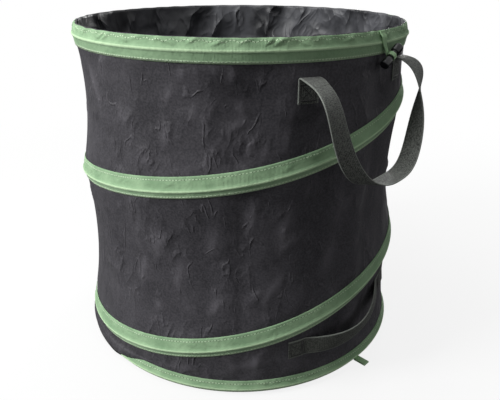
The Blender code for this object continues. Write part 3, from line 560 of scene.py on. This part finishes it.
def tape_material(name, width=0.0, crest=0.0, sway=0.0, dye_and_painted_light=("#86A882", "#A8C9A0")):
    """Sage-green polyester tape, matt and a little uneven in its dye. Its ribs are drawn 1.5 mm
    apart to show, where real ones lie closer. A sewn tape also has a row of pale stitches along
    both edges, with painted shade in the dimples between those of the upper row, which sways, and
    faint painted shade in those of the lower row. A painted highlight makes it paler along its
    lower edge and over the wire. The colours given for a strip are paler, as painted light."""
    material, tree = new_material(name)
    uv = add(tree, "UVMap", uv_map="UVMap")
    place = add(tree, "TexCoord").outputs["Object"]
    parts = add(tree, "SeparateXYZ", {"Vector": uv}).outputs
    ribs = add(tree, "TexWave", {
        "Vector": uv, "Scale": BAND / RIB_PITCH, "Distortion": 0.6, "Detail": 1.0,
    }, bands_direction="X")
    dye = add(tree, "TexNoise", {"Vector": place, "Scale": 30.0, "Detail": 6.0, "Roughness": 0.65})
    dyed = add(tree, "MapRange", {"Value": dye, "From Min": 0.3, "From Max": 0.7})
    base = add(tree, "Mix", {"Factor": dyed, "A": dye_and_painted_light[0], "B": dye_and_painted_light[1]}, data_type="RGBA")
    shaded = add(tree, "MapRange", {"Value": ribs.outputs["Fac"], "To Min": 0.22, "To Max": 0.0})
    base = add(tree, "Mix", {"Factor": shaded, "A": base, "B": "#5F7D5B"}, data_type="RGBA")
    first = add(tree, "Bump", {"Height": ribs.outputs["Fac"], "Strength": 0.35, "Distance": 0.0005})
    pucker = add(tree, "TexNoise", {
        "Vector": place, "Scale": 85.0, "Detail": 3.0, "Roughness": 0.6,
    })
    normal = add(tree, "Bump", {
        "Height": pucker, "Strength": 0.45, "Distance": 0.003, "Normal": first,
    })
    if width:
        swing = add(tree, "Math", {0: parts["X"], 1: 2 * STITCH_LENGTH}, operation="PINGPONG")
        swing = add(tree, "Math", {0: swing, 1: sway}, operation="MULTIPLY")
        above = add(tree, "Math", {0: parts["Y"], 1: swing}, operation="SUBTRACT")
        rows = []
        for across, middle, half in (
            (parts["Y"], LOWER_STITCHES_IN, LOWER_STITCHES_HALF),
            (above, width - UPPER_STITCHES_IN, UPPER_STITCHES_HALF),
            (parts["Y"], 0.0, TAPE_EDGE_HIGHLIGHT),
            (parts["Y"], crest, TAPE_CREST_HIGHLIGHT_HALF),
        ):
            rows.append(add(tree, "MapRange", {
                "Value": apart(tree, across, middle), "From Min": 0.4 * half, "From Max": half,
                "To Min": 1.0, "To Max": 0.0,
            }))
        # The last two rows are painted highlight: the lower edge and the wire's crest are painted
        # paler.
        lower, upper, edge_highlight, crest_highlight = rows
        painted_highlight = add(tree, "Math", {0: edge_highlight, 1: crest_highlight}, operation="MAXIMUM")
        painted_highlight = add(tree, "Math", {0: painted_highlight, 1: 0.75}, operation="MULTIPLY")
        row = add(tree, "Math", {0: lower, 1: upper}, operation="MAXIMUM")
        beat = add(tree, "Math", {0: parts["X"], 1: STITCH_LENGTH / 2}, operation="PINGPONG")
        lit = add(tree, "MapRange", {
            "Value": beat, "From Min": STITCH_GAP_FROM, "From Max": STITCH_GAP_TO,
        })
        thread = add(tree, "Math", {0: row, 1: lit}, operation="MULTIPLY")
        # Painted shade: the dimples between the stitches are painted a deeper green, strongly in
        # the upper row and faintly in the lower.
        pits = add(tree, "Math", {0: 1.0, 1: lit}, operation="SUBTRACT")
        dimple = add(tree, "Math", {0: upper, 1: pits}, operation="MULTIPLY")
        between = add(tree, "Math", {0: lower, 1: pits}, operation="MULTIPLY")
        between = add(tree, "Math", {0: between, 1: 0.3}, operation="MULTIPLY")
        painted_dimple_shade = add(tree, "Math", {0: dimple, 1: 0.8, 2: between}, operation="MULTIPLY_ADD")
        for share, tint in ((painted_highlight, "#D2F0C4"), (thread, "#D6EECB"), (painted_dimple_shade, "#56724F")):
            base = add(tree, "Mix", {"Factor": share, "A": base, "B": tint}, data_type="RGBA")
        raised = add(tree, "Math", {0: thread, 1: dimple}, operation="SUBTRACT")
        normal = add(tree, "Bump", {
            "Height": raised, "Strength": 0.6, "Distance": 0.0006, "Normal": normal,
        })
    shader = add(tree, "BsdfPrincipled", {
        "Base Color": base, "Roughness": 0.82, "Specular IOR Level": 0.25, "Sheen Weight": 0.08,
        "Normal": normal,
    })
    add(tree, "OutputMaterial", {"Surface": shader})
    return material


def tape_mesh(name, angle, wire, low, high, seed, wrap, pucker):
    """A tape over a turn of wire, on the wall. Its rows lie from low to high above the wire's
    height. It rises to the wire like a roof, 0.7 (1 - s), with s the share of the way to its edge,
    and the wire rounds its crest, 0.3 exp(-(h / crest)^2). Small loose folds lie in its upper
    slope, each exp(-(distance / width)^2) across its line and fading out softly along it."""
    h = np.concatenate([
        np.linspace(low, -SLOPE_ROWS_FROM, 4), np.linspace(-CREST_ROWS_TO, CREST_ROWS_TO, 8),
        np.linspace(SLOPE_ROWS_FROM, high, 9),
    ])[:, None]
    share = np.clip(np.where(h > 0, h / high, h / low), 0.0, 1.0)
    roof = 0.7 * (1 - share) + 0.3 * np.exp(-((h / CREST_HALF) ** 2))
    draw = np.random.default_rng(seed)
    folds = np.zeros(np.broadcast(angle, h).shape)
    for at in draw.uniform(angle.min(), angle.max(), int(round(np.ptp(angle) / PUCKER_SPACING))):
        run = way_round(angle, at) if wrap else np.radians(angle - at) * TUBE_RADIUS
        lean = math.radians(draw.uniform(*PUCKER_LEANS)) * draw.choice((-1, 1))
        middle, reach = draw.uniform(0.45, 0.9) * high, draw.uniform(*PUCKER_LENGTHS)
        width, size = draw.uniform(*PUCKER_WIDTHS), draw.uniform(0.5, 1.0)
        along = run * math.cos(lean) + (h - middle) * math.sin(lean)
        off = (h - middle) * math.cos(lean) - run * math.sin(lean)
        folds += size * np.exp(-((off / width) ** 2)) * (1 - eased(np.abs(along) / reach))
    held = 1 - 0.6 * eased((share - 0.8) / 0.2)
    loose = pucker * folds * np.where(h > 0, eased((share - 0.12) / 0.3) * held, 0.0)
    out = wall_out(angle, wire + h) + TAPE_GAP + RIDGE_RISE * roof + loose
    length = np.radians(np.append(angle, angle[0, :1] + 360.0) if wrap else angle[0]) * TUBE_RADIUS
    return lay_grid(name, on_tube(angle, out, wire + h), h[:, 0] - low, length, wrap)


ring = np.linspace(-180.0, 180.0, RING_COLUMNS, endpoint=False)[None, :]
climb = np.linspace(SPIRAL_START, SPIRAL_END, SPIRAL_COLUMNS)[None, :]
# Each tape's name, body and angles, its wire's height and how far it goes below and above that,
# the width between its edge and its upper stitches' edge, their sway, and its puckers' size.
for name, body, angle, wire, below, above, stitched, sway, pucker, seed in (
    ("rim", "rim", ring, RIM_WIRE, 0.0145, 0.0136, 0.0272, 0.35, 0.0019, 71),
    ("bottom", "base", ring, BOTTOM_WIRE, 0.0057, 0.0112, 0.0170, 0.0, 0.0006, 83),
    (
        "spiral", "base", climb, spiral_height(climb), SPIRAL_TAPE_BELOW, SPIRAL_TAPE_ABOVE,
        SPIRAL_TAPE_BELOW + SPIRAL_TAPE_ABOVE, 0.0, 0.0006, 97,
    ),
):
    sage = tape_material(f"sage_woven_tape_{name}", stitched, below, sway)
    wrap = angle is ring
    mesh = tape_mesh(f"{name}_tape_sewn", angle, wire, -below, above, seed, wrap, pucker)
    tape = add_piece(mesh, (sage,), body, (f"{name}_tape",), TAPE_THICKNESS)
    if not wrap:
        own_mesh(tape)


# The carry handles: charcoal polypropylene webbing, 25 mm wide. Each end is sewn flat under the
# rim and folds over outwards, and the loop between them hangs down and turns over on its far leg.
WEBBING_WIDTH = 0.025
WEBBING_THICKNESS = 0.0016
WEBBING_EDGE = 0.0005
WEBBING_PITCH = 0.0021
WEBBING_HIGHLIGHT_FROM, WEBBING_HIGHLIGHT_TO = 0.0018, 0.0004
SEWN_LENGTH = 0.025
STITCH_BOX_HALF, STITCH_CROSS_HALF = 0.0092, 0.0095
STITCH_CORE, STITCH_HALF = 0.0004, 0.0008
UPPER_NEAR, UPPER_FAR = 19.0, 58.0
UPPER_TOP = 0.418
UPPER_FAR_RISE = 0.008
UPPER_END_HEIGHT = 0.027
UPPER_FOLD_RADIUS = 0.004
UPPER_DROP, UPPER_STAND_OUT = 0.126, 0.046
UPPER_NEAR_STANDS_MORE = 0.29
STRAP_SAMPLES = 241
HINGE_SAMPLE = 8
FOLD_STEPS = 4
WEBBING_ROWS = 6
END_COLUMNS, STRAP_COLUMNS = 30, 150
OPPOSITE = 180.0


def webbing_material(name, sewn, crown="#7E827C"):
    """Charcoal polypropylene webbing: thick flat yarns in a chevron, dull with a soft shine on the
    crowns of the yarns, which have the given colour. Real yarns lie about 1 mm apart; they are
    drawn 2.1 mm apart to show. A sewn end also shows a box of stitches with a cross in it."""
    material, tree = new_material(name)
    uv = add(tree, "UVMap", uv_map="UVMap")
    place = add(tree, "TexCoord").outputs["Object"]
    parts = add(tree, "SeparateXYZ", {"Vector": uv}).outputs
    folded = add(tree, "Math", {0: parts["Y"], 1: WEBBING_WIDTH / 6}, operation="PINGPONG")
    slant = add(tree, "Math", {0: folded, 1: 0.9}, operation="MULTIPLY")
    along = add(tree, "Math", {0: parts["X"], 1: slant}, operation="ADD")
    chevron = add(tree, "CombineXYZ", {"X": along, "Y": parts["Y"]})
    yarns = add(tree, "TexWave", {
        "Vector": chevron, "Scale": BAND / WEBBING_PITCH, "Distortion": 0.2,
    }, bands_direction="X")
    rows = add(tree, "TexWave", {
        "Vector": uv, "Scale": BAND / WEBBING_PITCH, "Distortion": 0.2,
    }, bands_direction="Y")
    knit = add(tree, "Math", {
        0: yarns.outputs["Fac"], 1: rows.outputs["Fac"],
    }, operation="MULTIPLY")
    fuzz = add(tree, "TexNoise", {"Vector": place, "Scale": 520.0, "Detail": 2.0})
    speck = add(tree, "MapRange", {"Value": fuzz, "From Min": 0.36, "From Max": 0.64})
    tone = add(tree, "Mix", {"Factor": 0.5, "A": knit, "B": speck}, data_type="FLOAT")
    base = add(tree, "Mix", {"Factor": tone, "A": "#171817", "B": crown}, data_type="RGBA")
    off_middle = apart(tree, parts["Y"], WEBBING_WIDTH / 2)
    # Painted highlight: both long edges, which are rounded, are painted paler.
    webbing_edge_highlight = add(tree, "MapRange", {
        "Value": off_middle, "From Min": WEBBING_WIDTH / 2 - WEBBING_HIGHLIGHT_FROM,
        "From Max": WEBBING_WIDTH / 2 - WEBBING_HIGHLIGHT_TO, "To Max": 0.55,
    })
    base = add(tree, "Mix", {"Factor": webbing_edge_highlight, "A": base, "B": "#8F948D"}, data_type="RGBA")
    height = knit
    if sewn:
        off_box = apart(tree, parts["X"], SEWN_LENGTH / 2)
        far = add(tree, "Math", {0: off_box, 1: off_middle}, operation="MAXIMUM")
        box = apart(tree, far, STITCH_BOX_HALF)
        cross = apart(tree, off_box, off_middle)
        outside = add(tree, "Math", {0: far, 1: STITCH_CROSS_HALF}, operation="GREATER_THAN")
        cross = add(tree, "Math", {0: cross, 1: outside}, operation="ADD")
        line = add(tree, "Math", {0: box, 1: cross}, operation="MINIMUM")
        stitch = add(tree, "MapRange", {
            "Value": line, "From Min": STITCH_CORE, "From Max": STITCH_HALF, "To Min": 1.0,
            "To Max": 0.0,
        })
        base = add(tree, "Mix", {"Factor": stitch, "A": base, "B": "#161616"}, data_type="RGBA")
        height = add(tree, "Math", {0: knit, 1: stitch}, operation="SUBTRACT")
    bump = add(tree, "Bump", {"Height": height, "Strength": 0.6, "Distance": 0.0007})
    shader = add(tree, "BsdfPrincipled", {
        "Base Color": base, "Roughness": 0.62, "Specular IOR Level": 0.35, "Sheen Weight": 0.1,
        "Normal": bump,
    })
    add(tree, "OutputMaterial", {"Surface": shader})
    return material


def facing(angle):
    """Unit vectors at an angle round the bag: outwards, (sin a, -cos a, 0), and round it,
    (cos a, sin a, 0)."""
    a = math.radians(angle)
    return np.array([math.sin(a), -math.cos(a), 0.0]), np.array([math.cos(a), math.sin(a), 0.0])


def upper_strap(turn):
    """The strap's wall side and its width's direction, from sewn end to sewn end. The loop's angle
    goes with |cos t|^0.6, it stands out by 1 - (1 - sin t)^6 and drops by sin(t)^1.45, as t goes
    from 0 to pi. The width turns over once, late on the far leg."""
    near, far = UPPER_NEAR + turn, UPPER_FAR + turn
    roll = np.pi / 2 * np.linspace(0.0, 1.0, FOLD_STEPS + 1)
    fold_out = SEWN_GAP + UPPER_FOLD_RADIUS * (1 - np.cos(roll))
    fold_up = UPPER_FOLD_RADIUS * np.sin(roll)

    def sewn(angle, top):
        foot = on_tube(angle, SEWN_GAP, top - UPPER_END_HEIGHT)
        return np.vstack([foot, on_tube(np.full(roll.shape, angle), fold_out, top + fold_up)])

    t = np.linspace(0.0, np.pi, STRAP_SAMPLES)[1:-1]
    swing = np.sign(np.cos(t)) * np.abs(np.cos(t)) ** 0.6
    stand = UPPER_STAND_OUT * (1 + UPPER_NEAR_STANDS_MORE * swing)
    out = SEWN_GAP + UPPER_FOLD_RADIUS + stand * (1 - (1 - np.sin(t)) ** 6.0)
    top = UPPER_TOP + UPPER_FAR_RISE * (1 - swing) / 2 + UPPER_FOLD_RADIUS
    middle, half = (near + far) / 2, (far - near) / 2
    loop = on_tube(middle - half * swing, out, top - UPPER_DROP * np.sin(t) ** 1.45)
    path = np.vstack([sewn(near, UPPER_TOP), loop, sewn(far, UPPER_TOP + UPPER_FAR_RISE)[::-1]])
    hinge = FOLD_STEPS + 1 + HINGE_SAMPLE
    last = len(path) - 1
    axis = path[last - hinge] - path[hinge]
    axis /= np.linalg.norm(axis)
    away = np.array([axis[1], -axis[0], 0.0])
    away /= np.linalg.norm(away)
    i = np.arange(last + 1)
    t = np.pi * np.clip((i - hinge) / (last - 2 * hinge), 0.0, 1.0)
    ease = np.where(np.cos(t) > 0, 0.6, 6.0)
    twist = np.pi / 2 * (1 - np.sign(np.cos(t)) * np.abs(np.cos(t)) ** ease)
    free = axis * np.cos(twist)[:, None] + away * np.sin(twist)[:, None]
    flat = np.where((i > last / 2)[:, None], -facing(far)[1], facing(near)[1])
    lead = eased((np.minimum(i, last - i) - FOLD_STEPS - 1) / HINGE_SAMPLE)[:, None]
    sides = flat * (1 - lead) + free * lead
    return path, sides / np.linalg.norm(sides, axis=1)[:, None], hinge


def lengths_along(path):
    """How far along a path each of its points lies: the sum of the steps before it."""
    return np.append(0.0, np.cumsum(np.linalg.norm(np.diff(path, axis=0), axis=1)))


def webbing(name, path, sides, lengths, gone, start):
    """The stretch of a strap between two lengths along its path: rows across the width, from edge
    to edge, at each of the lengths."""
    points = np.stack([np.interp(lengths, gone, path[:, k]) for k in range(3)], axis=-1)
    across = np.stack([np.interp(lengths, gone, sides[:, k]) for k in range(3)], axis=-1)
    share = np.linspace(-0.5, 0.5, WEBBING_ROWS)
    grid = points[None] + across[None] * (WEBBING_WIDTH * share)[:, None, None]
    return lay_grid(name, grid[::-1], (share[::-1] + 0.5) * WEBBING_WIDTH, lengths - start)


def add_webbing(mesh, material, body, node):
    """Adds a stretch of webbing as a piece, with its long edges rounded, as woven edges are."""
    piece = add_piece(mesh, (material,), body, (node,), WEBBING_THICKNESS)
    edge = piece.modifiers.new("edge", "BEVEL")
    edge.width = WEBBING_EDGE
    edge.segments = 2
    edge.limit_method = "ANGLE"
    edge.angle_limit = math.radians(60.0)
    return piece


plain_webbing = webbing_material("polypropylene_webbing", False)
sewn_webbing = webbing_material("polypropylene_webbing_sewn", True)

for side, turn in (("right", 0.0), ("left", OPPOSITE)):
    path, sides, hinge = upper_strap(turn)
    gone = lengths_along(path)
    near, far, whole = gone[hinge], gone[-1 - hinge], gone[-1]
    near_end = np.append(np.linspace(0.0, near, END_COLUMNS), gone[1 : FOLD_STEPS + 2])
    far_end = np.append(np.linspace(far, whole, END_COLUMNS), gone[-2 - FOLD_STEPS : -1])
    for where, lengths, start in (
        ("near", np.unique(near_end), 0.0), ("far", np.unique(far_end), whole - SEWN_LENGTH),
    ):
        mesh = webbing(f"{side}_handle_{where}_end_webbing", path, sides, lengths, gone, start)
        add_webbing(mesh, sewn_webbing, "rim", f"{side}_handle_{where}_end")
    lengths = np.linspace(near, far, STRAP_COLUMNS)
    mesh = webbing(f"{side}_handle_strap_webbing", path, sides, lengths, gone, 0.0)
    strap = add_webbing(mesh, plain_webbing, f"{side}_handle", f"{side}_handle_strap")
    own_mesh(strap)


# The lower handle: the same webbing, sewn along the wall at its two ends, with a bow between them
# that takes a hand when the bag is tipped out.
LOWER_NEAR, LOWER_FAR = 15.5, 62.0
LOWER_NEAR_HEIGHT, LOWER_FAR_HEIGHT = 0.061, 0.107
LOWER_LEAD = 0.014
LOWER_STAND_OUT, LOWER_DROOP, LOWER_LEAN = 0.018, 0.004, 18.0
LOWER_LENGTH = math.radians(LOWER_FAR - LOWER_NEAR) * TUBE_RADIUS
LOWER_SAMPLES = 400
LOWER_END_COLUMNS, LOWER_STRAP_COLUMNS = 40, 90
PROBE = 0.0003


def lower_strap(along):
    """The lower strap's wall side and its width's direction. Its bow is sin(pi f), with f the share
    of the free length. Its height climbs with the share of the whole length to the power 1.4, and
    droops with the bow."""
    def place(at):
        share = at / LOWER_LENGTH
        free_share = (at - SEWN_LENGTH) / (LOWER_LENGTH - 2 * SEWN_LENGTH)
        bow = np.sin(np.pi * np.clip(free_share, 0.0, 1.0))
        climb = (LOWER_FAR_HEIGHT - LOWER_NEAR_HEIGHT) * share**1.4
        angle = LOWER_NEAR + (LOWER_FAR - LOWER_NEAR) * share
        height = LOWER_NEAR_HEIGHT + climb - LOWER_DROOP * bow
        return on_tube(angle, SEWN_GAP + LOWER_STAND_OUT * bow, height), bow

    points, bow = place(along)
    ahead, behind = np.minimum(along + PROBE, LOWER_LENGTH), np.maximum(along - PROBE, 0.0)
    run = place(ahead)[0] - place(behind)[0]
    away = points * (1.0, 1.0, 0.0)
    away /= np.linalg.norm(away, axis=1)[:, None]
    down = np.cross(run, away)
    down /= np.linalg.norm(down, axis=1)[:, None]
    lean = math.radians(LOWER_LEAN) * bow[:, None] ** 2
    return points, down * np.cos(lean) - away * np.sin(lean)


# This handle's webbing takes a darker crown colour, as painted shade for the shade it hangs in: the
# crowns of its yarns shine less.
painted_shade_webbing = webbing_material("polypropylene_webbing_painted_shade", False, "#666A62")
painted_shade_sewn_webbing = webbing_material("polypropylene_webbing_painted_shade_sewn", True, "#666A62")
held = SEWN_LENGTH + LOWER_LEAD
gone = np.linspace(0.0, LOWER_LENGTH, LOWER_SAMPLES)
path, sides = lower_strap(gone)
near_end = np.linspace(0.0, held, LOWER_END_COLUMNS)
far_end = np.linspace(LOWER_LENGTH - held, LOWER_LENGTH, LOWER_END_COLUMNS)
free = np.linspace(held, LOWER_LENGTH - held, LOWER_STRAP_COLUMNS)
for where, lengths, start, material, body in (
    ("near_end", near_end, 0.0, painted_shade_sewn_webbing, "base"),
    ("far_end", far_end, LOWER_LENGTH - SEWN_LENGTH, painted_shade_sewn_webbing, "base"),
    ("strap", free, 0.0, painted_shade_webbing, "lower_handle"),
):
    mesh = webbing(f"lower_handle_{where}_webbing", path, sides, lengths, gone, start)
    strip = add_webbing(mesh, material, body, f"lower_handle_{where}")
    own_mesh(strip)


# The bar tacks: dense bars of bonded nylon thread, sewn to and fro over each end of a strap. They
# are black, with a slight shine on each pass of the thread. Real passes lie about 0.4 mm apart;
# they are drawn 0.8 mm apart to show.
TACK_LONG, TACK_SHORT = 0.020, 0.0025
TACK_RISE = 0.0007
TACK_OUT = 0.0022
TACK_THICKNESS = 0.0004
TACK_THREADS = 26
THREAD_SPACING = 0.0008
UPPER_TACK_HEIGHT = 0.395
LOWER_TACK_IN = 0.0185
bonded_thread, tree = new_material("bonded_nylon_thread")
uv = add(tree, "UVMap", uv_map="UVMap")
strands = add(tree, "TexWave", {
    "Vector": uv, "Scale": BAND / THREAD_SPACING, "Distortion": 1.0,
}, bands_direction="X")
colour = add(tree, "Mix", {
    "Factor": strands.outputs["Fac"], "A": "#0E0E0E", "B": "#2C2C2B",
}, data_type="RGBA")
bump = add(tree, "Bump", {"Height": strands.outputs["Fac"], "Strength": 0.5, "Distance": 0.0003})
shader = add(tree, "BsdfPrincipled", {"Base Color": colour, "Roughness": 0.45, "Normal": bump})
add(tree, "OutputMaterial", {"Surface": shader})


def tack_mesh(name, angle, height, upright):
    """A bar of thread: sin(pi v)^0.5 across it and along it, with a small ridge for each pass of
    the thread."""
    along = np.linspace(0.0, 1.0, TACK_THREADS * 4 + 1)[None, :]
    across = np.linspace(0.0, 1.0, 9)[:, None]
    ends = np.sqrt(np.sin(np.pi * np.clip(along, 0.02, 0.98)))
    crown = np.sqrt(np.maximum(np.sin(np.pi * across), 0.0)) * ends
    ridge = 0.75 + 0.25 * np.abs(np.sin(np.pi * along * TACK_THREADS))
    out = TACK_OUT + TACK_RISE * crown * ridge
    a, b = TACK_LONG * (along - 0.5), TACK_SHORT * (across - 0.5)
    if upright:
        a, b = -b, a
    points = on_tube(angle + np.degrees(a / TUBE_RADIUS), out, height + b)
    return lay_grid(name, points, across[:, 0] * TACK_SHORT, along[0] * TACK_LONG)


def add_tack(mesh, body, node):
    """Adds a bar tack as a piece. Its thickness goes inwards, to the webbing."""
    return add_piece(mesh, (bonded_thread,), body, (node,), TACK_THICKNESS, -1.0)


for side, turn in (("right", 0.0), ("left", OPPOSITE)):
    for where, angle, height in (
        ("near", UPPER_NEAR, UPPER_TACK_HEIGHT),
        ("far", UPPER_FAR, UPPER_TACK_HEIGHT + UPPER_FAR_RISE),
    ):
        mesh = tack_mesh(f"{side}_handle_{where}_tack_thread", angle + turn, height, False)
        add_tack(mesh, "rim", f"{side}_handle_{where}_tack")
for where, along in (("near", LOWER_TACK_IN), ("far", LOWER_LENGTH - LOWER_TACK_IN)):
    angle = LOWER_NEAR + (LOWER_FAR - LOWER_NEAR) * along / LOWER_LENGTH
    height = float(lower_strap(np.array([along]))[0][0, 2])
    mesh = tack_mesh(f"lower_handle_{where}_tack_thread", angle, height, True)
    tack = add_tack(mesh, "base", f"lower_handle_{where}_tack")
    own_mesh(tack)


# The toggles: a black moulded nylon barrel with a narrow waist, hung from the rim by a strip of the
# green tape, 10 mm wide, that goes round the waist. The catch loops are tabs of that tape under the
# bottom edge, which a toggle hooks into when the bag is pressed flat.
TOGGLE_ANGLE = 45.5
TOGGLE_LENGTH = 0.038
TOGGLE_RADIUS, WAIST_RADIUS, END_RADIUS = 0.0058, 0.0042, 0.0044
WAIST_LENGTH = 0.0125
TOGGLE_DROP, TOGGLE_LEAN = 0.034, 31.0
TOGGLE_SIDES = 40
STRIP_WIDTH, STRIP_THICKNESS, STRIP_ROWS = 0.010, 0.0010, 7
STRIP_TOP_IN, STRIP_BEND = 0.001, 0.009
STRIP_STEPS, HUG_STEPS, HUG_TURN = 48, 40, 300.0
STRIP_GATHER = 0.42
RIDGE_OUT = 0.0053
CATCH_ANGLE, CATCH_LENGTH = 45.0, 0.018
CATCH_HEIGHT, CATCH_BEND, CATCH_STEPS = 0.0015, 0.0003, 16
# Moulded nylon: near black, finely grained by its mould, with a soft gloss that wear has scuffed.
# The real grain is under 0.1 mm; it is drawn 0.7 mm wide to show.
moulded_nylon, tree = new_material("moulded_nylon")
place = add(tree, "TexCoord").outputs["Object"]
grain = add(tree, "TexNoise", {"Vector": place, "Scale": 1400.0, "Detail": 2.0})
bump = add(tree, "Bump", {"Height": grain, "Strength": 0.15, "Distance": 0.0003})
scuff = add(tree, "TexNoise", {"Vector": place, "Scale": 160.0, "Detail": 4.0})
gloss = add(tree, "MapRange", {
    "Value": scuff, "From Min": 0.35, "From Max": 0.7, "To Min": 0.22, "To Max": 0.42,
})
colour = add(tree, "Mix", {"Factor": scuff, "A": "#121315", "B": "#1E1F22"}, data_type="RGBA")
shader = add(tree, "BsdfPrincipled", {
    "Base Color": colour, "Roughness": gloss, "Normal": bump, "Specular IOR Level": 0.3,
})
add(tree, "OutputMaterial", {"Surface": shader})
# The strip and the catch loops take paler colours than the tape: painted light.
painted_light_sage_strip = tape_material("sage_woven_strip_painted_light", dye_and_painted_light=("#A4CC9C", "#C6EABC"))


def toggle_strip(angle):
    """The strip's bag side. It steps out softly over the rim's ridge and goes down with a lean,
    then round the waist: centre + radius (way sin t - outward cos t). Returns its points, its
    width's directions, the waist's centre, the way down and the way outwards."""
    outward, tangent = facing(angle)
    start_out = 2 * SEWN_GAP + TAPE_THICKNESS
    straight = TOGGLE_DROP - STRIP_TOP_IN
    gone = straight * np.arange(1, STRIP_STEPS + 1) / STRIP_STEPS
    lean = math.radians(TOGGLE_LEAN) * eased(gone / STRIP_BEND - 1)
    down = np.array([0.0, 0.0, -1.0]) * np.cos(lean)[:, None] + tangent * np.sin(lean)[:, None]
    top = on_tube(angle, start_out, BAG_HEIGHT - STRIP_TOP_IN)
    spine = top + np.cumsum(down * (straight / STRIP_STEPS), axis=0)
    out = (RIDGE_OUT + SEWN_GAP - start_out) * eased(gone / STRIP_BEND)
    path = np.vstack([top, spine + outward * out[:, None]])
    way = down[-1]
    wrap = WAIST_RADIUS + SEWN_GAP + STRIP_THICKNESS
    centre = path[-1] + outward * wrap
    turn = math.radians(HUG_TURN) * np.arange(1, HUG_STEPS + 1)[:, None] / HUG_STEPS
    hug = centre + wrap * (way * np.sin(turn) - outward * np.cos(turn))
    round_waist = np.repeat(np.cross(way, outward)[None], HUG_STEPS, axis=0)
    directions = np.vstack([-tangent, np.cross(down, outward), round_waist])
    return np.vstack([path, hug]), directions, centre, way, outward


def strip_mesh(name, path, directions, narrow):
    """A strip of tape along a path. From a tenth of its length to about a third it is drawn in by
    the share narrow, towards the place where it is gathered."""
    gone = lengths_along(path)
    share = np.linspace(-0.5, 0.5, STRIP_ROWS)
    width = STRIP_WIDTH * (1 - narrow * eased((gone - 0.10 * gone[-1]) / (0.25 * gone[-1])))
    grid = path[None] + directions[None] * (share[:, None] * width[None])[..., None]
    return lay_grid(name, grid[::-1], (share[::-1] + 0.5) * STRIP_WIDTH, gone)


def barrel_mesh(name, centre, along, outward):
    """The toggle: a profile turned about its length, with rounded ends and a waist. Each row is a
    ring, its radius times outward cos a - across sin a."""
    half, waist, chamfer = TOGGLE_LENGTH / 2, WAIST_LENGTH / 2, TOGGLE_RADIUS - END_RADIUS
    bend = np.linspace(0.0, np.pi / 2, 7)
    tip_r, tip_h = END_RADIUS + chamfer * np.sin(bend), half - chamfer + chamfer * np.cos(bend)
    shoulder_r = WAIST_RADIUS + (TOGGLE_RADIUS - WAIST_RADIUS) * eased(np.linspace(1.0, 0.0, 8))
    shoulder_h = np.linspace(waist + chamfer, waist, 8)
    radius = np.concatenate([[END_RADIUS * 0.6], tip_r, shoulder_r])
    height = np.concatenate([[half], tip_h, shoulder_h])
    radius, height = np.append(radius, radius[::-1]), np.append(height, -height[::-1])
    turn = np.linspace(0.0, 2 * np.pi, TOGGLE_SIDES + 1)
    ring = outward * np.cos(turn)[:-1, None] - np.cross(along, outward) * np.sin(turn)[:-1, None]
    grid = centre + along * height[:, None, None] + ring[None] * radius[:, None, None]
    return lay_grid(name, grid, height, turn * TOGGLE_RADIUS, wrap=True, capped=True)


for side, turn in (("right", 0.0), ("left", OPPOSITE)):
    path, directions, centre, way, outward = toggle_strip(TOGGLE_ANGLE + turn)
    mesh = strip_mesh(f"{side}_toggle_loop_tape", path, directions, STRIP_GATHER)
    body, node = f"{side}_toggle", f"{side}_toggle_loop"
    add_piece(mesh, (painted_light_sage_strip,), body, (node,), STRIP_THICKNESS)
    mesh = barrel_mesh(f"{side}_toggle_barrel", centre, np.cross(way, outward), outward)
    add_piece(mesh, (moulded_nylon,), body, (f"{side}_toggle",))
    angle = CATCH_ANGLE + turn
    run = np.linspace(CATCH_BEND, CATCH_LENGTH - CATCH_BEND, CATCH_STEPS)
    bend = np.linspace(0.0, np.pi, 9)[1:-1]
    out = np.concatenate([run, run[-1] + CATCH_BEND * np.sin(bend), run[::-1]])
    flat = np.ones(CATCH_STEPS)
    height = CATCH_HEIGHT + CATCH_BEND * np.concatenate([-flat, -np.cos(bend), flat])
    tangents = np.repeat(facing(angle)[1][None], len(out), axis=0)
    mesh = strip_mesh(f"{side}_catch_loop_tape", on_tube(angle, out, height), tangents, 0.0)
    add_piece(mesh, (painted_light_sage_strip,), "base", (f"{side}_catch_loop",), STRIP_THICKNESS)
